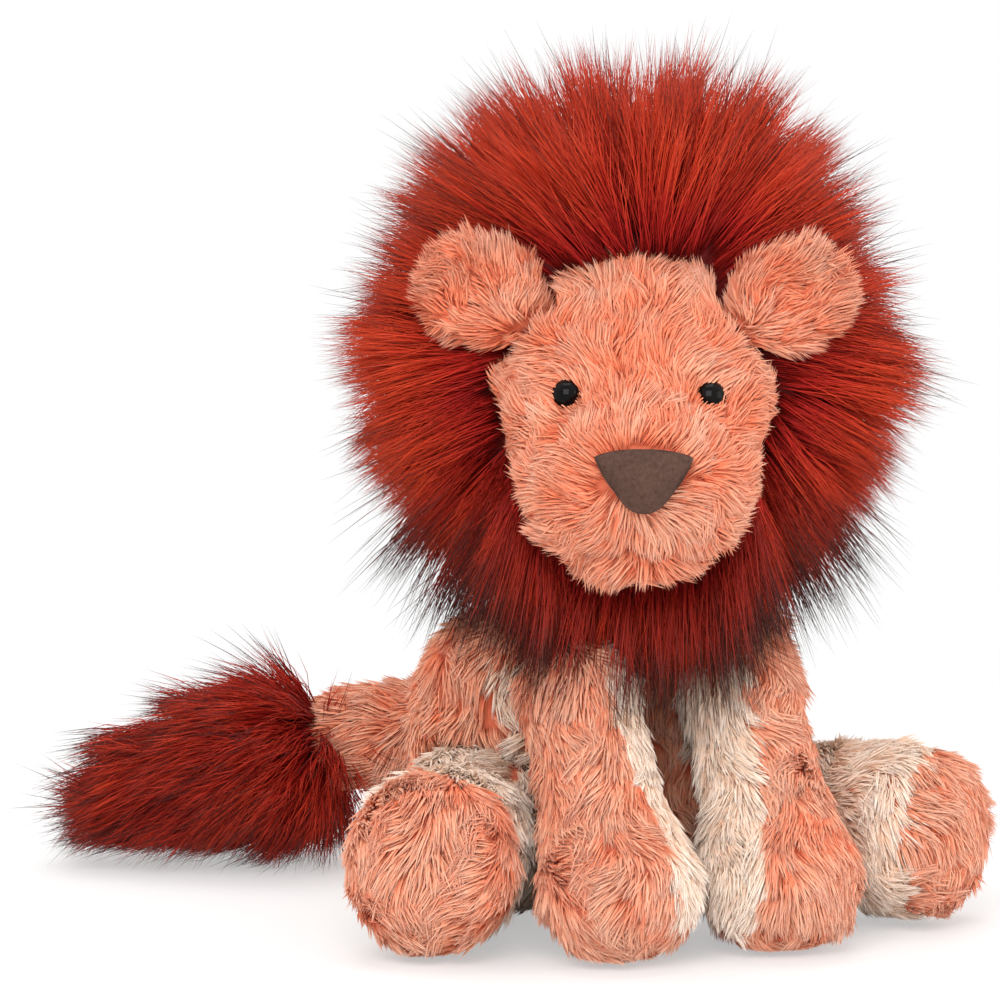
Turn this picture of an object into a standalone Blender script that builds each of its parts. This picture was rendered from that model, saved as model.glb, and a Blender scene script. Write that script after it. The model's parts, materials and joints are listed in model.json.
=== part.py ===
# Seated plush lion with a long-pile mane and tail tuft, built as a soft-toy maker sews it: plush covers
# round polyester fillings, limbs set into the torso on rounded seams, safety eyes held by lock washers.
# Metres, +Z up. The lion faces -Y, and the origin is on the flat of its seat.

import math

import bmesh
import bpy
from mathutils import Matrix, Vector
from mathutils.bvhtree import BVHTree

MM = 0.001

# Cloth and fit
WALL = 5 * MM  # knitted backing and its short pile
TAIL_WALL = 4 * MM
SEAM_GAP = 0.3 * MM  # between pieces that lie on each other
SOCKET_GAP = 0.6 * MM  # round a limb's rounded root, over the facets of the root
OPENING_SHARE = 0.55  # of a limb's rounded root, open to the torso
FLOOR_FLAT = 0.5 * MM  # how much the standing forms are pressed flat
OVERRUN = 20 * MM  # how far a cutter runs past what it opens
ROOM = 400 * MM  # wider than the whole toy

# Torso
TORSO_HEIGHT = 92 * MM
TORSO_HALF_WIDTH = 57 * MM
TORSO_HALF_DEPTH = 40 * MM
# height, half width, half depth, forward shift; shares of the four sizes (the shift of the half depth)
TORSO_SHARES = (
    (0.0, 0.36, 0.35, -0.12),
    (0.0, 0.72, 0.70, -0.12),
    (0.09, 0.93, 0.93, -0.10),
    (0.28, 1.00, 1.00, -0.10),
    (0.52, 0.99, 0.97, -0.08),
    (0.74, 0.99, 0.90, -0.20),
    (0.90, 0.90, 0.76, -0.36),
    (0.98, 0.58, 0.48, -0.45),
)

# Neck: a round collar of the torso that the head turns on
NECK_RADIUS = 27 * MM
NECK_PLACE = Vector((0, -22 * MM, 98 * MM))
NECK_OPENING = 14 * MM  # radius of the sewn-round opening between head and torso
SHOULDER_CLEAR = 90.5 * MM  # nothing of the head comes lower than this

# Head, in its own frame: -Y is the face
HEAD_PLACE = Vector((-1.7 * MM, -34 * MM, 145.8 * MM))
HEAD_TURN = math.radians(-17)
HEAD_ROLL = math.radians(1)
HEAD_HALF_WIDTH = 41.5 * MM
HEAD_HALF_HEIGHT = 46 * MM
HEAD_DEPTH = 100 * MM
MUZZLE_REACH = 63 * MM  # from the head's centre to the front of the muzzle
# depth, half width, half height, rise; shares of the three sizes (the rise of the half height)
HEAD_SHARES = (
    (0.0, 0.30, 0.17, -0.37),
    (0.06, 0.65, 0.39, -0.42),
    (0.16, 0.88, 0.53, -0.43),
    (0.28, 0.95, 0.65, -0.33),
    (0.40, 0.96, 0.81, -0.14),
    (0.55, 1.02, 0.99, -0.01),
    (0.73, 0.99, 0.99, 0.04),
    (0.89, 0.76, 0.77, 0.06),
    (1.0, 0.36, 0.38, 0.06),
)

# Mane: long-pile panel that wraps the head behind the face
MANE_HALF_WIDTH = 83 * MM
MANE_HALF_HEIGHT = 83 * MM
MANE_DEPTH = 72 * MM
MANE_FRONT = -4 * MM  # of the head's centre
# depth, half width, half height, rise; shares of the three sizes (the rise of the half height)
MANE_SHARES = (
    (0.0, 0.62, 0.63, 0.06),
    (0.06, 0.86, 0.84, 0.12),
    (0.20, 0.98, 0.98, 0.17),
    (0.42, 0.97, 0.98, 0.19),
    (0.64, 0.84, 0.86, 0.18),
    (0.85, 0.64, 0.66, 0.15),
    (1.0, 0.36, 0.38, 0.13),
)

# Ears, in the head's frame
EAR_PLACE = Vector((30.5 * MM, -4 * MM, 23 * MM))
EAR_LEAN = math.radians(52)  # outwards from upright
EAR_HEIGHT = 34 * MM
EAR_HALF_WIDTH = 19 * MM
EAR_HALF_THICKNESS = 7.5 * MM
EAR_ROOT = 8 * MM  # radius of the rounded root
EAR_DISH = 3 * MM  # how deep the front is cupped
EAR_RANGE = (0, 35)
EAR_CUP_SHARES = (0.72, 0.72)  # of the half width, across and up
# height, half width, half thickness; shares of the three sizes
EAR_SHARES = (
    (-0.12, 0.40, 0.80),
    (0.10, 0.80, 1.00),
    (0.40, 1.05, 1.05),
    (0.70, 0.98, 1.05),
    (0.92, 0.62, 0.90),
    (1.0, 0.25, 0.45),
)

# Eyes and their lock washers
EYE_SPREAD = 21 * MM
EYE_RISE = 9 * MM
EYE_RADIUS = 4.5 * MM
EYE_DOME = 3.4 * MM
EYE_SUNK = 2.2 * MM  # depth of the flange in the pile
EYE_TURN_SHARE = 0.55  # how much of the cheek's slope the eye follows
SHANK_RADIUS = 2 * MM
SHANK_LENGTH = 12 * MM
RIDGE_HEIGHT = 0.35 * MM
RIDGE_PITCH = 1.6 * MM
RIDGES = 3
CLAMPED_CLOTH = 2.6 * MM  # backing and hem between flange and washer
WASHER_RADIUS = 6.5 * MM
WASHER_THICKNESS = 1 * MM
WASHER_DISH = 0.8 * MM
WASHER_TEETH = 6
TOOTH_LENGTH = 1.7 * MM

# Nose patch
NOSE_WIDTH = 27 * MM
NOSE_HEIGHT = 16.5 * MM
NOSE_DROP = 12 * MM  # below the head's centre
NOSE_THICKNESS = 1.8 * MM
# corners, with their two handles; shares of the width and the height
NOSE_SHARES = (
    ((-0.46, 0.40), (-0.54, 0.20), (-0.34, 0.50)),
    ((0.0, 0.52), (-0.18, 0.53), (0.18, 0.53)),
    ((0.46, 0.40), (0.34, 0.50), (0.54, 0.20)),
    ((0.30, -0.12), (0.38, 0.02), (0.22, -0.26)),
    ((0.0, -0.50), (0.16, -0.46), (-0.16, -0.46)),
    ((-0.30, -0.12), (-0.22, -0.26), (-0.38, 0.02)),
)

# Front legs: the right one is mirrored
SHOULDER_PLACE = Vector((24 * MM, -52 * MM, 67 * MM))
SHOULDER_RADIUS = 20 * MM
PAW_PLACE = Vector((23.5 * MM, -84 * MM, 22.3 * MM))
PAW_RADIUS = 22 * MM
# place from shoulder to paw, half width, half thickness; shares of the length and of the paw's radius
FRONT_LEG_SHARES = (
    (-0.12, 0.74, 0.74),
    (0.15, 0.88, 0.88),
    (0.45, 0.87, 0.86),
    (0.75, 0.96, 0.94),
    (1.0, 1.03, 1.02),
    (1.22, 0.94, 0.96),
    (1.40, 0.52, 0.56),
)
INNER_SEAM = 6 * MM  # from the leg's middle to the edge of the cream panel

# Hind legs: the right one is mirrored
HIP_PLACE = Vector((42 * MM, -20 * MM, 27 * MM))
HIP_RADIUS = 25 * MM
FOOT_PLACE = Vector((68.5 * MM, -61 * MM, 24.4 * MM))
FOOT_RADIUS = 25 * MM
HIND_LEG_SHARES = (
    (-0.12, 0.78, 0.78),
    (0.20, 0.90, 0.90),
    (0.60, 0.90, 0.90),
    (0.98, 1.03, 1.02),
    (1.20, 1.02, 1.02),
    (1.38, 0.84, 0.84),
    (1.47, 0.44, 0.44),
)
FOOT_SEAM = 42 * MM  # from the hip to the seam of the coral foot

# Tail and tuft
TAIL_PLACE = Vector((0, 28 * MM, 35 * MM))
TAIL_ROOT = 17 * MM  # radius of the rounded root
TAIL_REACH = 77 * MM
TAIL_RADIUS = 16 * MM
# place from the root, radius; shares of the reach and of the radius
TAIL_SHARES = (
    ((0.02, -0.06, 0.0), 0.78),
    ((-0.02, 0.10, 0.0), 0.79),
    ((-0.10, 0.25, 0.01), 0.84),
    ((-0.29, 0.40, 0.02), 1.00),
    ((-0.55, 0.50, 0.02), 1.05),
    ((-0.78, 0.56, 0.01), 0.92),
    ((-0.86, 0.58, 0.0), 0.50),
)
TUFT_LENGTH = 76 * MM
TUFT_RADIUS = 29 * MM
# place from the tail's end, radius; shares of the length and of the radius
TUFT_SHARES = (
    ((0.12, -0.04, 0.0), 0.62),
    ((0.02, 0.0, -0.02), 0.78),
    ((-0.18, 0.06, -0.05), 0.94),
    ((-0.42, 0.14, -0.10), 0.96),
    ((-0.66, 0.22, -0.18), 0.76),
    ((-0.88, 0.29, -0.26), 0.36),
)

MANY_CUTS = "MANIFOLD"  # keeps a piece closed through its many cuts

# Facets
WIDE_SIDES = 12
LIMB_SIDES = 8
BODY_CORE_SIDES = 8
LIMB_CORE_SIDES = 6
BALL_STEPS = 16
SMALL_STEPS = 12
DOME_STEPS = 4
SWEEP_STEPS = 3

COLOURS = {
    "coral_plush": ((0.83, 0.35, 0.20), 0.95),
    "cream_plush": ((0.84, 0.76, 0.66), 0.95),
    "red_long_pile": ((0.42, 0.03, 0.01), 0.8),
    "white_fibre": ((0.86, 0.86, 0.84), 1.0),
    "brown_twill": ((0.14, 0.07, 0.05), 0.85),
    "black_plastic": ((0.01, 0.01, 0.012), 0.12),
    "clear_plastic": ((0.72, 0.72, 0.70), 0.4),
}

X, Y, Z = Vector((1, 0, 0)), Vector((0, 1, 0)), Vector((0, 0, 1))


def start():
    for obj in list(bpy.data.objects):
        bpy.data.objects.remove(obj, do_unlink=True)
    made = []
    for name in ("plush_lion", "cutters"):
        collection = bpy.data.collections.new(name)
        bpy.context.scene.collection.children.link(collection)
        made.append(collection)
    made[1].hide_render = True
    return made


parts, cutters = start()


def material(name):
    found = bpy.data.materials.get(name)
    if found:
        return found
    colour, roughness = COLOURS[name]
    made = bpy.data.materials.new(name)
    made.use_nodes = True
    shader = made.node_tree.nodes["Principled BSDF"]
    shader.inputs["Base Color"].default_value = (*colour, 1)
    shader.inputs["Roughness"].default_value = roughness
    shader.inputs["Metallic"].default_value = 0
    return made


def joint_frame(name, place, parent=None, turn=(0, 0, 0)):
    """An empty on a joint's axis, which carries the pieces of one body."""
    empty = bpy.data.objects.new(name, None)
    parts.objects.link(empty)
    empty.parent = parent
    empty.location = place
    empty.rotation_euler = turn
    bpy.context.view_layer.update()
    return empty


def piece(name, mesh, finish=None, parent=None, smooth=True):
    """A named part with its material or, without one, a cutter."""
    if isinstance(mesh, bmesh.types.BMesh):
        bm, mesh = mesh, bpy.data.meshes.new(name)
        bm.to_mesh(mesh)
        bm.free()
    obj = bpy.data.objects.new(name, mesh)
    (parts if finish else cutters).objects.link(obj)
    obj.parent = parent
    if finish:
        mesh.materials.clear()
        mesh.materials.append(material(finish))
    else:
        obj.hide_render = True
        obj.display_type = "WIRE"
    if smooth:
        mesh.shade_smooth()
    return obj


def subdivide(obj):
    modifier = obj.modifiers.new("Soft", "SUBSURF")
    modifier.levels = modifier.render_levels = 1
    return obj


def boolean(obj, operation, *others, solver="EXACT"):
    for other in others:
        modifier = obj.modifiers.new(operation.title() + " " + other.name, "BOOLEAN")
        modifier.operation = operation
        modifier.solver = solver
        modifier.object = other
    return obj


def loft(stations, sides):
    """Rings of (centre, direction, across, half width, half height) bridged into one closed cage."""
    bm = bmesh.new()
    before = None
    rounding = math.cos(math.pi / sides)  # what one subdivision takes off a ring
    for centre, direction, across, half_width, half_height in stations:
        along = direction.normalized()
        side = (across - along * across.dot(along)).normalized()
        turn = Matrix((side, along.cross(side), along)).transposed().to_4x4()
        size = Matrix.Diagonal((half_width, half_height, 1, 1))
        made = bmesh.ops.create_circle(
            bm, segments=sides, radius=1 / rounding, matrix=Matrix.Translation(centre) @ turn @ size
        )
        edges = list(dict.fromkeys(edge for vert in made["verts"] for edge in vert.link_edges))
        if before is None:
            bmesh.ops.edgeloop_fill(bm, edges=edges)
        else:
            bmesh.ops.bridge_loops(bm, edges=before + edges)
        before = edges
    bmesh.ops.edgeloop_fill(bm, edges=before)
    bmesh.ops.recalc_face_normals(bm, faces=bm.faces)
    return bm


def inset(stations, depth):
    """The same rings drawn in by depth, with the end rings moved inwards; a negative depth grows them."""
    first, last = stations[0], stations[-1]
    rings = []
    for ring in stations:
        centre, direction, across, half_width, half_height = ring
        along = direction.normalized()
        if ring is first:
            centre = centre + along * depth
        if ring is last:
            centre = centre - along * depth
        rings.append((centre, direction, across, half_width - depth, half_height - depth))
    return rings


def ball(name, radius, place, axis, parent=None, steps=BALL_STEPS):
    """A sphere with its poles on the axis that the piece turns about."""
    bm = bmesh.new()
    turn = axis.to_track_quat("Z", "Y").to_matrix().to_4x4()
    matrix = Matrix.Translation(place) @ turn
    bmesh.ops.create_uvsphere(bm, u_segments=steps, v_segments=steps * 2 // 5, radius=radius, matrix=matrix)
    return piece(name, bm, parent=parent)


def rod(name, radius, place, direction, low, high, parent=None, steps=SMALL_STEPS):
    """A straight cylinder from low to high along a direction."""
    bm = bmesh.new()
    turn = direction.to_track_quat("Z", "Y").to_matrix().to_4x4() @ Matrix.Rotation(math.pi / steps, 4, Z)
    middle = place + direction.normalized() * (low + high) / 2
    bmesh.ops.create_cone(
        bm,
        cap_ends=True,
        segments=steps,
        radius1=radius,
        radius2=radius,
        depth=high - low,
        matrix=Matrix.Translation(middle) @ turn,
    )
    return piece(name, bm, parent=parent)


def block_below(name, height):
    """A block whose top is at this height, for a flat cut."""
    bm = bmesh.new()
    size = Matrix.Diagonal((ROOM, ROOM, ROOM, 1))
    bmesh.ops.create_cube(bm, size=1, matrix=Matrix.Translation(Z * (height - ROOM / 2)) @ size)
    return piece(name, bm, smooth=False)


def block(name, low, high, turn, parent):
    """A box between two corners of a turned frame."""
    bm = bmesh.new()
    size = Matrix.Diagonal((*(high - low), 1))
    bmesh.ops.create_cube(bm, size=1, matrix=turn @ Matrix.Translation((low + high) / 2) @ size)
    return piece(name, bm, parent=parent, smooth=False)


def panel(name, cover, finish, low, high, turn, frame):
    """Cuts a sewn panel out of a cover, as a piece of its own that keeps the seam's gap."""
    made = cover.copy()
    made.data = cover.data.copy()
    made.name = name
    parts.objects.link(made)
    made.data.materials.clear()
    made.data.materials.append(material(finish))
    seam = Vector((SEAM_GAP, SEAM_GAP, SEAM_GAP))
    boolean(made, "INTERSECT", block("keep_" + name, low, high, turn, frame))
    boolean(cover, "DIFFERENCE", block("cut_" + name, low - seam, high + seam, turn, frame))
    return made


def sweep(name, stations, axis, limits, parent):
    """The hull of a cage at steps through its range, which leaves its neighbour room for the motion."""
    bm = bmesh.new()
    low, high = (math.radians(limit) for limit in limits)
    for step in range(SWEEP_STEPS + 1):
        turn = Matrix.Rotation(low + (high - low) * step / SWEEP_STEPS, 4, axis)
        cage = loft(stations, LIMB_CORE_SIDES)
        for vert in cage.verts:
            bm.verts.new(turn @ vert.co)
        cage.free()
    hull = bmesh.ops.convex_hull(bm, input=bm.verts, use_existing_faces=False)
    loose = [vert for vert in hull["geom_interior"] if isinstance(vert, bmesh.types.BMVert)]
    bmesh.ops.delete(bm, geom=list(set(loose)), context="VERTS")
    bmesh.ops.recalc_face_normals(bm, faces=bm.faces)
    return piece(name, bm, parent=parent, smooth=False)


def turned(name, profile, steps, finish, parent, place, axis, smooth=True):
    """A profile of (radius, height) turned about an axis with a Screw; it runs down the outer side."""
    mesh = bpy.data.meshes.new(name)
    corners = [(radius, 0, height) for radius, height in profile]
    mesh.from_pydata(corners, [(i, i + 1) for i in range(len(corners) - 1)], [])
    obj = piece(name, mesh, finish, parent, smooth)
    obj.location = place
    obj.rotation_mode = "QUATERNION"
    obj.rotation_quaternion = axis.to_track_quat("Z", "Y")
    modifier = obj.modifiers.new("Turn", "SCREW")
    modifier.steps = modifier.render_steps = steps
    modifier.use_merge_vertices = True
    modifier.merge_threshold = SEAM_GAP / BALL_STEPS
    return obj


floor_cut = block_below("cut_floor", 0)
shoulder_cut = block_below("cut_under_head", SHOULDER_CLEAR)


def torso_stations():
    rings = []
    for height, width, depth, shift in TORSO_SHARES:
        centre = Y * shift * TORSO_HALF_DEPTH + Z * (height * TORSO_HEIGHT - FLOOR_FLAT)
        rings.append((centre, Z, X, width * TORSO_HALF_WIDTH, depth * TORSO_HALF_DEPTH))
    return rings


def limb_stations(reach, shares, radius):
    """Rings from a limb's pivot, at zero, along its reach."""
    return [
        (reach * along, reach, X, width * radius, thickness * radius) for along, width, thickness in shares
    ]


def path_stations(reach, shares, radius):
    """Rings that follow a curved path, each square to the way between its neighbours."""
    centres = [Vector(place) * reach for place, _ in shares]
    rings = []
    for i, (_, share) in enumerate(shares):
        direction = centres[min(i + 1, len(centres) - 1)] - centres[max(i - 1, 0)]
        rings.append((centres[i], direction, Z, share * radius, share * radius))
    return rings


def limb(name, frame, stations, root, axis, wall, inwards):
    """A stuffed limb: a cover with a rounded, open root, and its filling. Returns its neighbour's cutter."""
    opening = root * OPENING_SHARE
    reach = math.sqrt(root**2 - opening**2)
    across = stations[0][2]
    every_other = stations[1:-1:2] + stations[-1:]
    plug = (inwards * (reach - SEAM_GAP), -inwards, across, opening, opening)
    core = [plug] + inset([plug] + every_other, wall + SEAM_GAP)[1:]
    mouth = (inwards * (reach + OVERRUN), -inwards, across, opening + SEAM_GAP, opening + SEAM_GAP)
    cavity = [mouth] + inset(core, -SEAM_GAP)

    cover = subdivide(piece(name + "_cover", loft(stations, LIMB_SIDES), "coral_plush", frame))
    filling = subdivide(piece(name + "_filling", loft(core, LIMB_CORE_SIDES), "white_fibre", frame))
    inside = subdivide(piece("cut_inside_" + name, loft(cavity, LIMB_CORE_SIDES), parent=frame))
    boolean(cover, "UNION", ball("round_root_" + name, root, Vector(), axis, frame))
    boolean(cover, "DIFFERENCE", inside)
    return cover, filling, ball("cut_socket_" + name, root + SOCKET_GAP, Vector(), axis, frame)


def legs():
    """Two front and two hind legs; the lion's left is at +X."""
    seats = []
    kinds = (
        ("front_leg", SHOULDER_PLACE, PAW_PLACE, FRONT_LEG_SHARES, PAW_RADIUS, SHOULDER_RADIUS),
        ("hind_leg", HIP_PLACE, FOOT_PLACE, HIND_LEG_SHARES, FOOT_RADIUS, HIP_RADIUS),
    )
    for kind, pivot, tip, shares, radius, root in kinds:
        for side, sign in (("left", 1), ("right", -1)):
            mirrored = Vector((sign, 1, 1))
            frame = joint_frame(f"{kind}_{side}_joint", pivot * mirrored)
            stations = limb_stations((tip - pivot) * mirrored, shares, radius)
            reach = stations[0][1]
            inwards = Y if kind == "front_leg" else -reach.normalized()
            cover, _, seat = limb(f"{kind}_{side}", frame, stations, root, X, WALL, inwards)
            boolean(cover, "DIFFERENCE", floor_cut)
            seats.append(seat)
            across = X - reach.normalized() * X.dot(reach.normalized())
            turn = Matrix((across.normalized(), reach.cross(across).normalized(), reach.normalized()))
            turn = turn.transposed().to_4x4()
            if kind == "front_leg":
                edges = sorted((-sign * INNER_SEAM, -sign * ROOM))
                low = Vector((edges[0], -ROOM, root + WALL))
                high = Vector((edges[1], ROOM, ROOM))
                panel(f"{kind}_{side}_inner_panel", cover, "cream_plush", low, high, turn, frame)
            else:
                low, high = Vector((-ROOM, -ROOM, FOOT_SEAM)), Vector((ROOM, ROOM, ROOM))
                panel(f"{kind}_{side}_foot", cover, "coral_plush", low, high, turn, frame)
                cover.data.materials.clear()
                cover.data.materials.append(material("cream_plush"))
    return seats


def tail():
    frame = joint_frame("tail_joint", TAIL_PLACE)
    stations = path_stations(TAIL_REACH, TAIL_SHARES, TAIL_RADIUS)
    _, _, seat = limb("tail", frame, stations, TAIL_ROOT, Z, TAIL_WALL, -stations[0][1].normalized())
    end = Vector(TAIL_SHARES[-1][0]) * TAIL_REACH
    rings = [
        (end + centre, direction, across, half_width, half_height)
        for centre, direction, across, half_width, half_height in path_stations(
            TUFT_LENGTH, TUFT_SHARES, TUFT_RADIUS
        )
    ]
    tuft = subdivide(piece("tail_tuft", loft(rings, WIDE_SIDES), "red_long_pile", frame))
    seated = subdivide(piece("cut_tail_end", loft(inset(stations, -SEAM_GAP), LIMB_SIDES), parent=frame))
    boolean(tuft, "DIFFERENCE", seated, floor_cut)
    return seat


def head_stations():
    rings = []
    for depth, width, height, rise in HEAD_SHARES:
        centre = Y * (depth * HEAD_DEPTH - MUZZLE_REACH) + Z * rise * HEAD_HALF_HEIGHT
        rings.append((centre, Y, X, width * HEAD_HALF_WIDTH, height * HEAD_HALF_HEIGHT))
    return rings


def mane_stations():
    rings = []
    for depth, width, height, rise in MANE_SHARES:
        centre = Y * (MANE_FRONT + depth * MANE_DEPTH) + Z * rise * MANE_HALF_HEIGHT
        rings.append((centre, Y, X, width * MANE_HALF_WIDTH, height * MANE_HALF_HEIGHT))
    return rings


def ear(side, sign, frame):
    """A padded, cupped ear on a rounded root. Returns what the head and the mane are cut with."""
    up = Vector((sign * math.sin(EAR_LEAN), 0, math.cos(EAR_LEAN)))
    across = Y.cross(up)
    hinge = joint_frame(f"ear_{side}_joint", EAR_PLACE * Vector((sign, 1, 1)), frame)
    stations = [
        (up * height * EAR_HEIGHT, up, across, width * EAR_HALF_WIDTH, thickness * EAR_HALF_THICKNESS)
        for height, width, thickness in EAR_SHARES
    ]
    made = subdivide(piece(f"ear_{side}", loft(stations, LIMB_SIDES), "coral_plush", hinge))
    boolean(made, "UNION", ball(f"round_root_ear_{side}", EAR_ROOT, Vector(), across, hinge, SMALL_STEPS))
    bm = bmesh.new()
    middle = up * EAR_HEIGHT / 2 - Y * (EAR_HALF_THICKNESS + EAR_DISH)
    across_share, up_share = EAR_CUP_SHARES
    size = Matrix.Diagonal((EAR_HALF_WIDTH * across_share, EAR_DISH * 2, EAR_HALF_WIDTH * up_share, 1))
    matrix = Matrix.Translation(middle) @ size
    half_steps = SMALL_STEPS // 2
    bmesh.ops.create_uvsphere(bm, u_segments=SMALL_STEPS, v_segments=half_steps, radius=1, matrix=matrix)
    boolean(made, "DIFFERENCE", piece(f"cut_cup_ear_{side}", bm, parent=hinge))
    socket = ball(f"cut_socket_ear_{side}", EAR_ROOT + SOCKET_GAP, Vector(), across, hinge, SMALL_STEPS)
    return socket, sweep(f"cut_sweep_ear_{side}", stations, across, EAR_RANGE, hinge)


def eye(side, sign, frame, skin):
    """A safety eye through the cover, locked by a toothed washer against the back of the cloth."""
    hit, normal, _, _ = skin.ray_cast(Vector((sign * EYE_SPREAD, -ROOM, EYE_RISE)), Y)
    out = (-Y).lerp(normal, EYE_TURN_SHARE).normalized()
    flange = hit - out * EYE_SUNK
    shank = [(0, EYE_DOME)]
    for step in range(1, DOME_STEPS):
        angle = math.pi / 2 * step / DOME_STEPS
        shank.append((EYE_RADIUS * math.sin(angle), EYE_DOME * math.cos(angle)))
    shank += [(EYE_RADIUS, 0), (SHANK_RADIUS, 0)]
    for ridge in range(RIDGES):
        low = CLAMPED_CLOTH + WASHER_THICKNESS + WASHER_DISH + RIDGE_PITCH * (ridge + 1)
        shank += [
            (SHANK_RADIUS, RIDGE_HEIGHT - low),
            (SHANK_RADIUS + RIDGE_HEIGHT, -low),
            (SHANK_RADIUS, -low - RIDGE_HEIGHT),
        ]
    shank += [(SHANK_RADIUS, -SHANK_LENGTH), (0, -SHANK_LENGTH)]
    turned(f"eye_{side}", shank, SMALL_STEPS, "black_plastic", frame, flange, out)

    seat = flange - out * (CLAMPED_CLOTH + SEAM_GAP)
    bore = SHANK_RADIUS + SEAM_GAP
    washer = [
        (bore, WASHER_DISH),
        (WASHER_RADIUS, 0),
        (WASHER_RADIUS, -WASHER_THICKNESS),
        (bore, WASHER_DISH - WASHER_THICKNESS),
        (bore, WASHER_DISH),
    ]
    place = seat - out * (WASHER_DISH + SEAM_GAP)
    lock = turned(f"eye_washer_{side}", washer, SMALL_STEPS, "clear_plastic", frame, place, out, False)
    boolean(lock, "DIFFERENCE", star(f"cut_teeth_{side}", bore, seat, out, frame))

    pocket = rod(f"cut_eye_pocket_{side}", EYE_RADIUS + SEAM_GAP, flange, out, -SEAM_GAP, OVERRUN, frame)
    hole = rod(f"cut_shank_hole_{side}", bore, flange, out, -SHANK_LENGTH - SEAM_GAP, OVERRUN, frame)
    recess = rod(
        f"cut_washer_seat_{side}",
        WASHER_RADIUS + SEAM_GAP,
        flange,
        out,
        -SHANK_LENGTH - SEAM_GAP,
        -CLAMPED_CLOTH,
        frame,
    )
    return pocket, hole, recess


def star(name, bore, place, out, frame):
    """The slots between a lock washer's teeth."""
    bm = bmesh.new()
    turn = out.to_track_quat("Z", "Y").to_matrix().to_4x4()
    low = Matrix.Translation(place - out * OVERRUN) @ turn
    made = bmesh.ops.create_circle(bm, cap_ends=True, segments=WASHER_TEETH * 2, radius=bore, matrix=low)
    for vert in made["verts"][::2]:
        vert.co = low @ ((low.inverted() @ vert.co) * (1 + TOOTH_LENGTH / bore))
    top = bmesh.ops.extrude_face_region(bm, geom=bm.faces[:])
    raised = [vert for vert in top["geom"] if isinstance(vert, bmesh.types.BMVert)]
    bmesh.ops.translate(bm, verts=raised, vec=out * OVERRUN * 2)
    bmesh.ops.recalc_face_normals(bm, faces=bm.faces)
    return piece(name, bm, parent=frame, smooth=False)


def nose(frame):
    """The twill patch, cut to its outline and laid over the front of the muzzle."""
    curve = bpy.data.curves.new("nose_outline", "CURVE")
    curve.dimensions = "2D"
    curve.fill_mode = "BOTH"
    curve.extrude = OVERRUN
    curve.resolution_u = 4
    spline = curve.splines.new("BEZIER")
    spline.bezier_points.add(len(NOSE_SHARES) - 1)
    spline.use_cyclic_u = True
    size = Vector((NOSE_WIDTH, NOSE_HEIGHT))
    for point, (corner, before, after) in zip(spline.bezier_points, NOSE_SHARES):
        point.co = (*(Vector(corner) * size), 0)
        point.handle_left = (*(Vector(before) * size), 0)
        point.handle_right = (*(Vector(after) * size), 0)
    outline = bpy.data.objects.new("nose_outline", curve)
    cutters.objects.link(outline)
    outline.parent = frame
    outline.location = -Y * MUZZLE_REACH - Z * NOSE_DROP
    outline.rotation_euler = (math.pi / 2, 0, 0)
    bpy.context.view_layer.update()
    graph = bpy.context.evaluated_depsgraph_get()
    mesh = bpy.data.meshes.new_from_object(outline.evaluated_get(graph))
    bm = bmesh.new()
    bm.from_mesh(mesh)
    bmesh.ops.remove_doubles(bm, verts=bm.verts, dist=SEAM_GAP / BALL_STEPS)
    bmesh.ops.recalc_face_normals(bm, faces=bm.faces)
    patch = piece("nose_patch", bm, "brown_twill", frame)
    patch.location, patch.rotation_euler = outline.location.copy(), outline.rotation_euler.copy()
    bpy.data.objects.remove(outline, do_unlink=True)
    outer = loft(inset(head_stations(), -SEAM_GAP - NOSE_THICKNESS), WIDE_SIDES)
    inner = loft(inset(head_stations(), -SEAM_GAP), WIDE_SIDES)
    boolean(patch, "INTERSECT", subdivide(piece("keep_nose_front", outer, parent=frame)))
    boolean(patch, "DIFFERENCE", subdivide(piece("cut_nose_back", inner, parent=frame)))


def head():
    turn = joint_frame("head_joint", NECK_PLACE)
    frame = joint_frame("head_frame", HEAD_PLACE - NECK_PLACE, turn, (0, HEAD_ROLL, HEAD_TURN))
    stations = head_stations()
    cover = subdivide(piece("head_cover", loft(stations, WIDE_SIDES), "coral_plush", frame))
    filling = subdivide(
        piece("head_filling", loft(inset(stations, WALL + SEAM_GAP), BODY_CORE_SIDES), "white_fibre", frame)
    )
    inside = subdivide(piece("cut_inside_head", loft(inset(stations, WALL), BODY_CORE_SIDES), parent=frame))
    socket = ball("cut_socket_neck", NECK_RADIUS + SOCKET_GAP, Vector(), Z, turn)
    ears = [cut for side, sign in (("left", 1), ("right", -1)) for cut in ear(side, sign, frame)]

    bpy.context.view_layer.update()
    graph = bpy.context.evaluated_depsgraph_get()
    skin = BVHTree.FromObject(cover, graph)
    boolean(cover, "DIFFERENCE", inside, socket, *ears, solver=MANY_CUTS)
    boolean(filling, "DIFFERENCE", socket, *ears, solver=MANY_CUTS)
    for side, sign in (("left", 1), ("right", -1)):
        pocket, hole, recess = eye(side, sign, frame, skin)
        boolean(cover, "DIFFERENCE", pocket, hole, recess, solver=MANY_CUTS)
        boolean(filling, "DIFFERENCE", pocket, hole, recess, solver=MANY_CUTS)
    nose(frame)

    mane = subdivide(piece("mane", loft(mane_stations(), WIDE_SIDES), "red_long_pile", frame))
    core = subdivide(piece("cut_mane_inside", loft(inset(stations, -SEAM_GAP), WIDE_SIDES), parent=frame))
    boolean(mane, "DIFFERENCE", core, socket, shoulder_cut, *ears, solver=MANY_CUTS)


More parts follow.
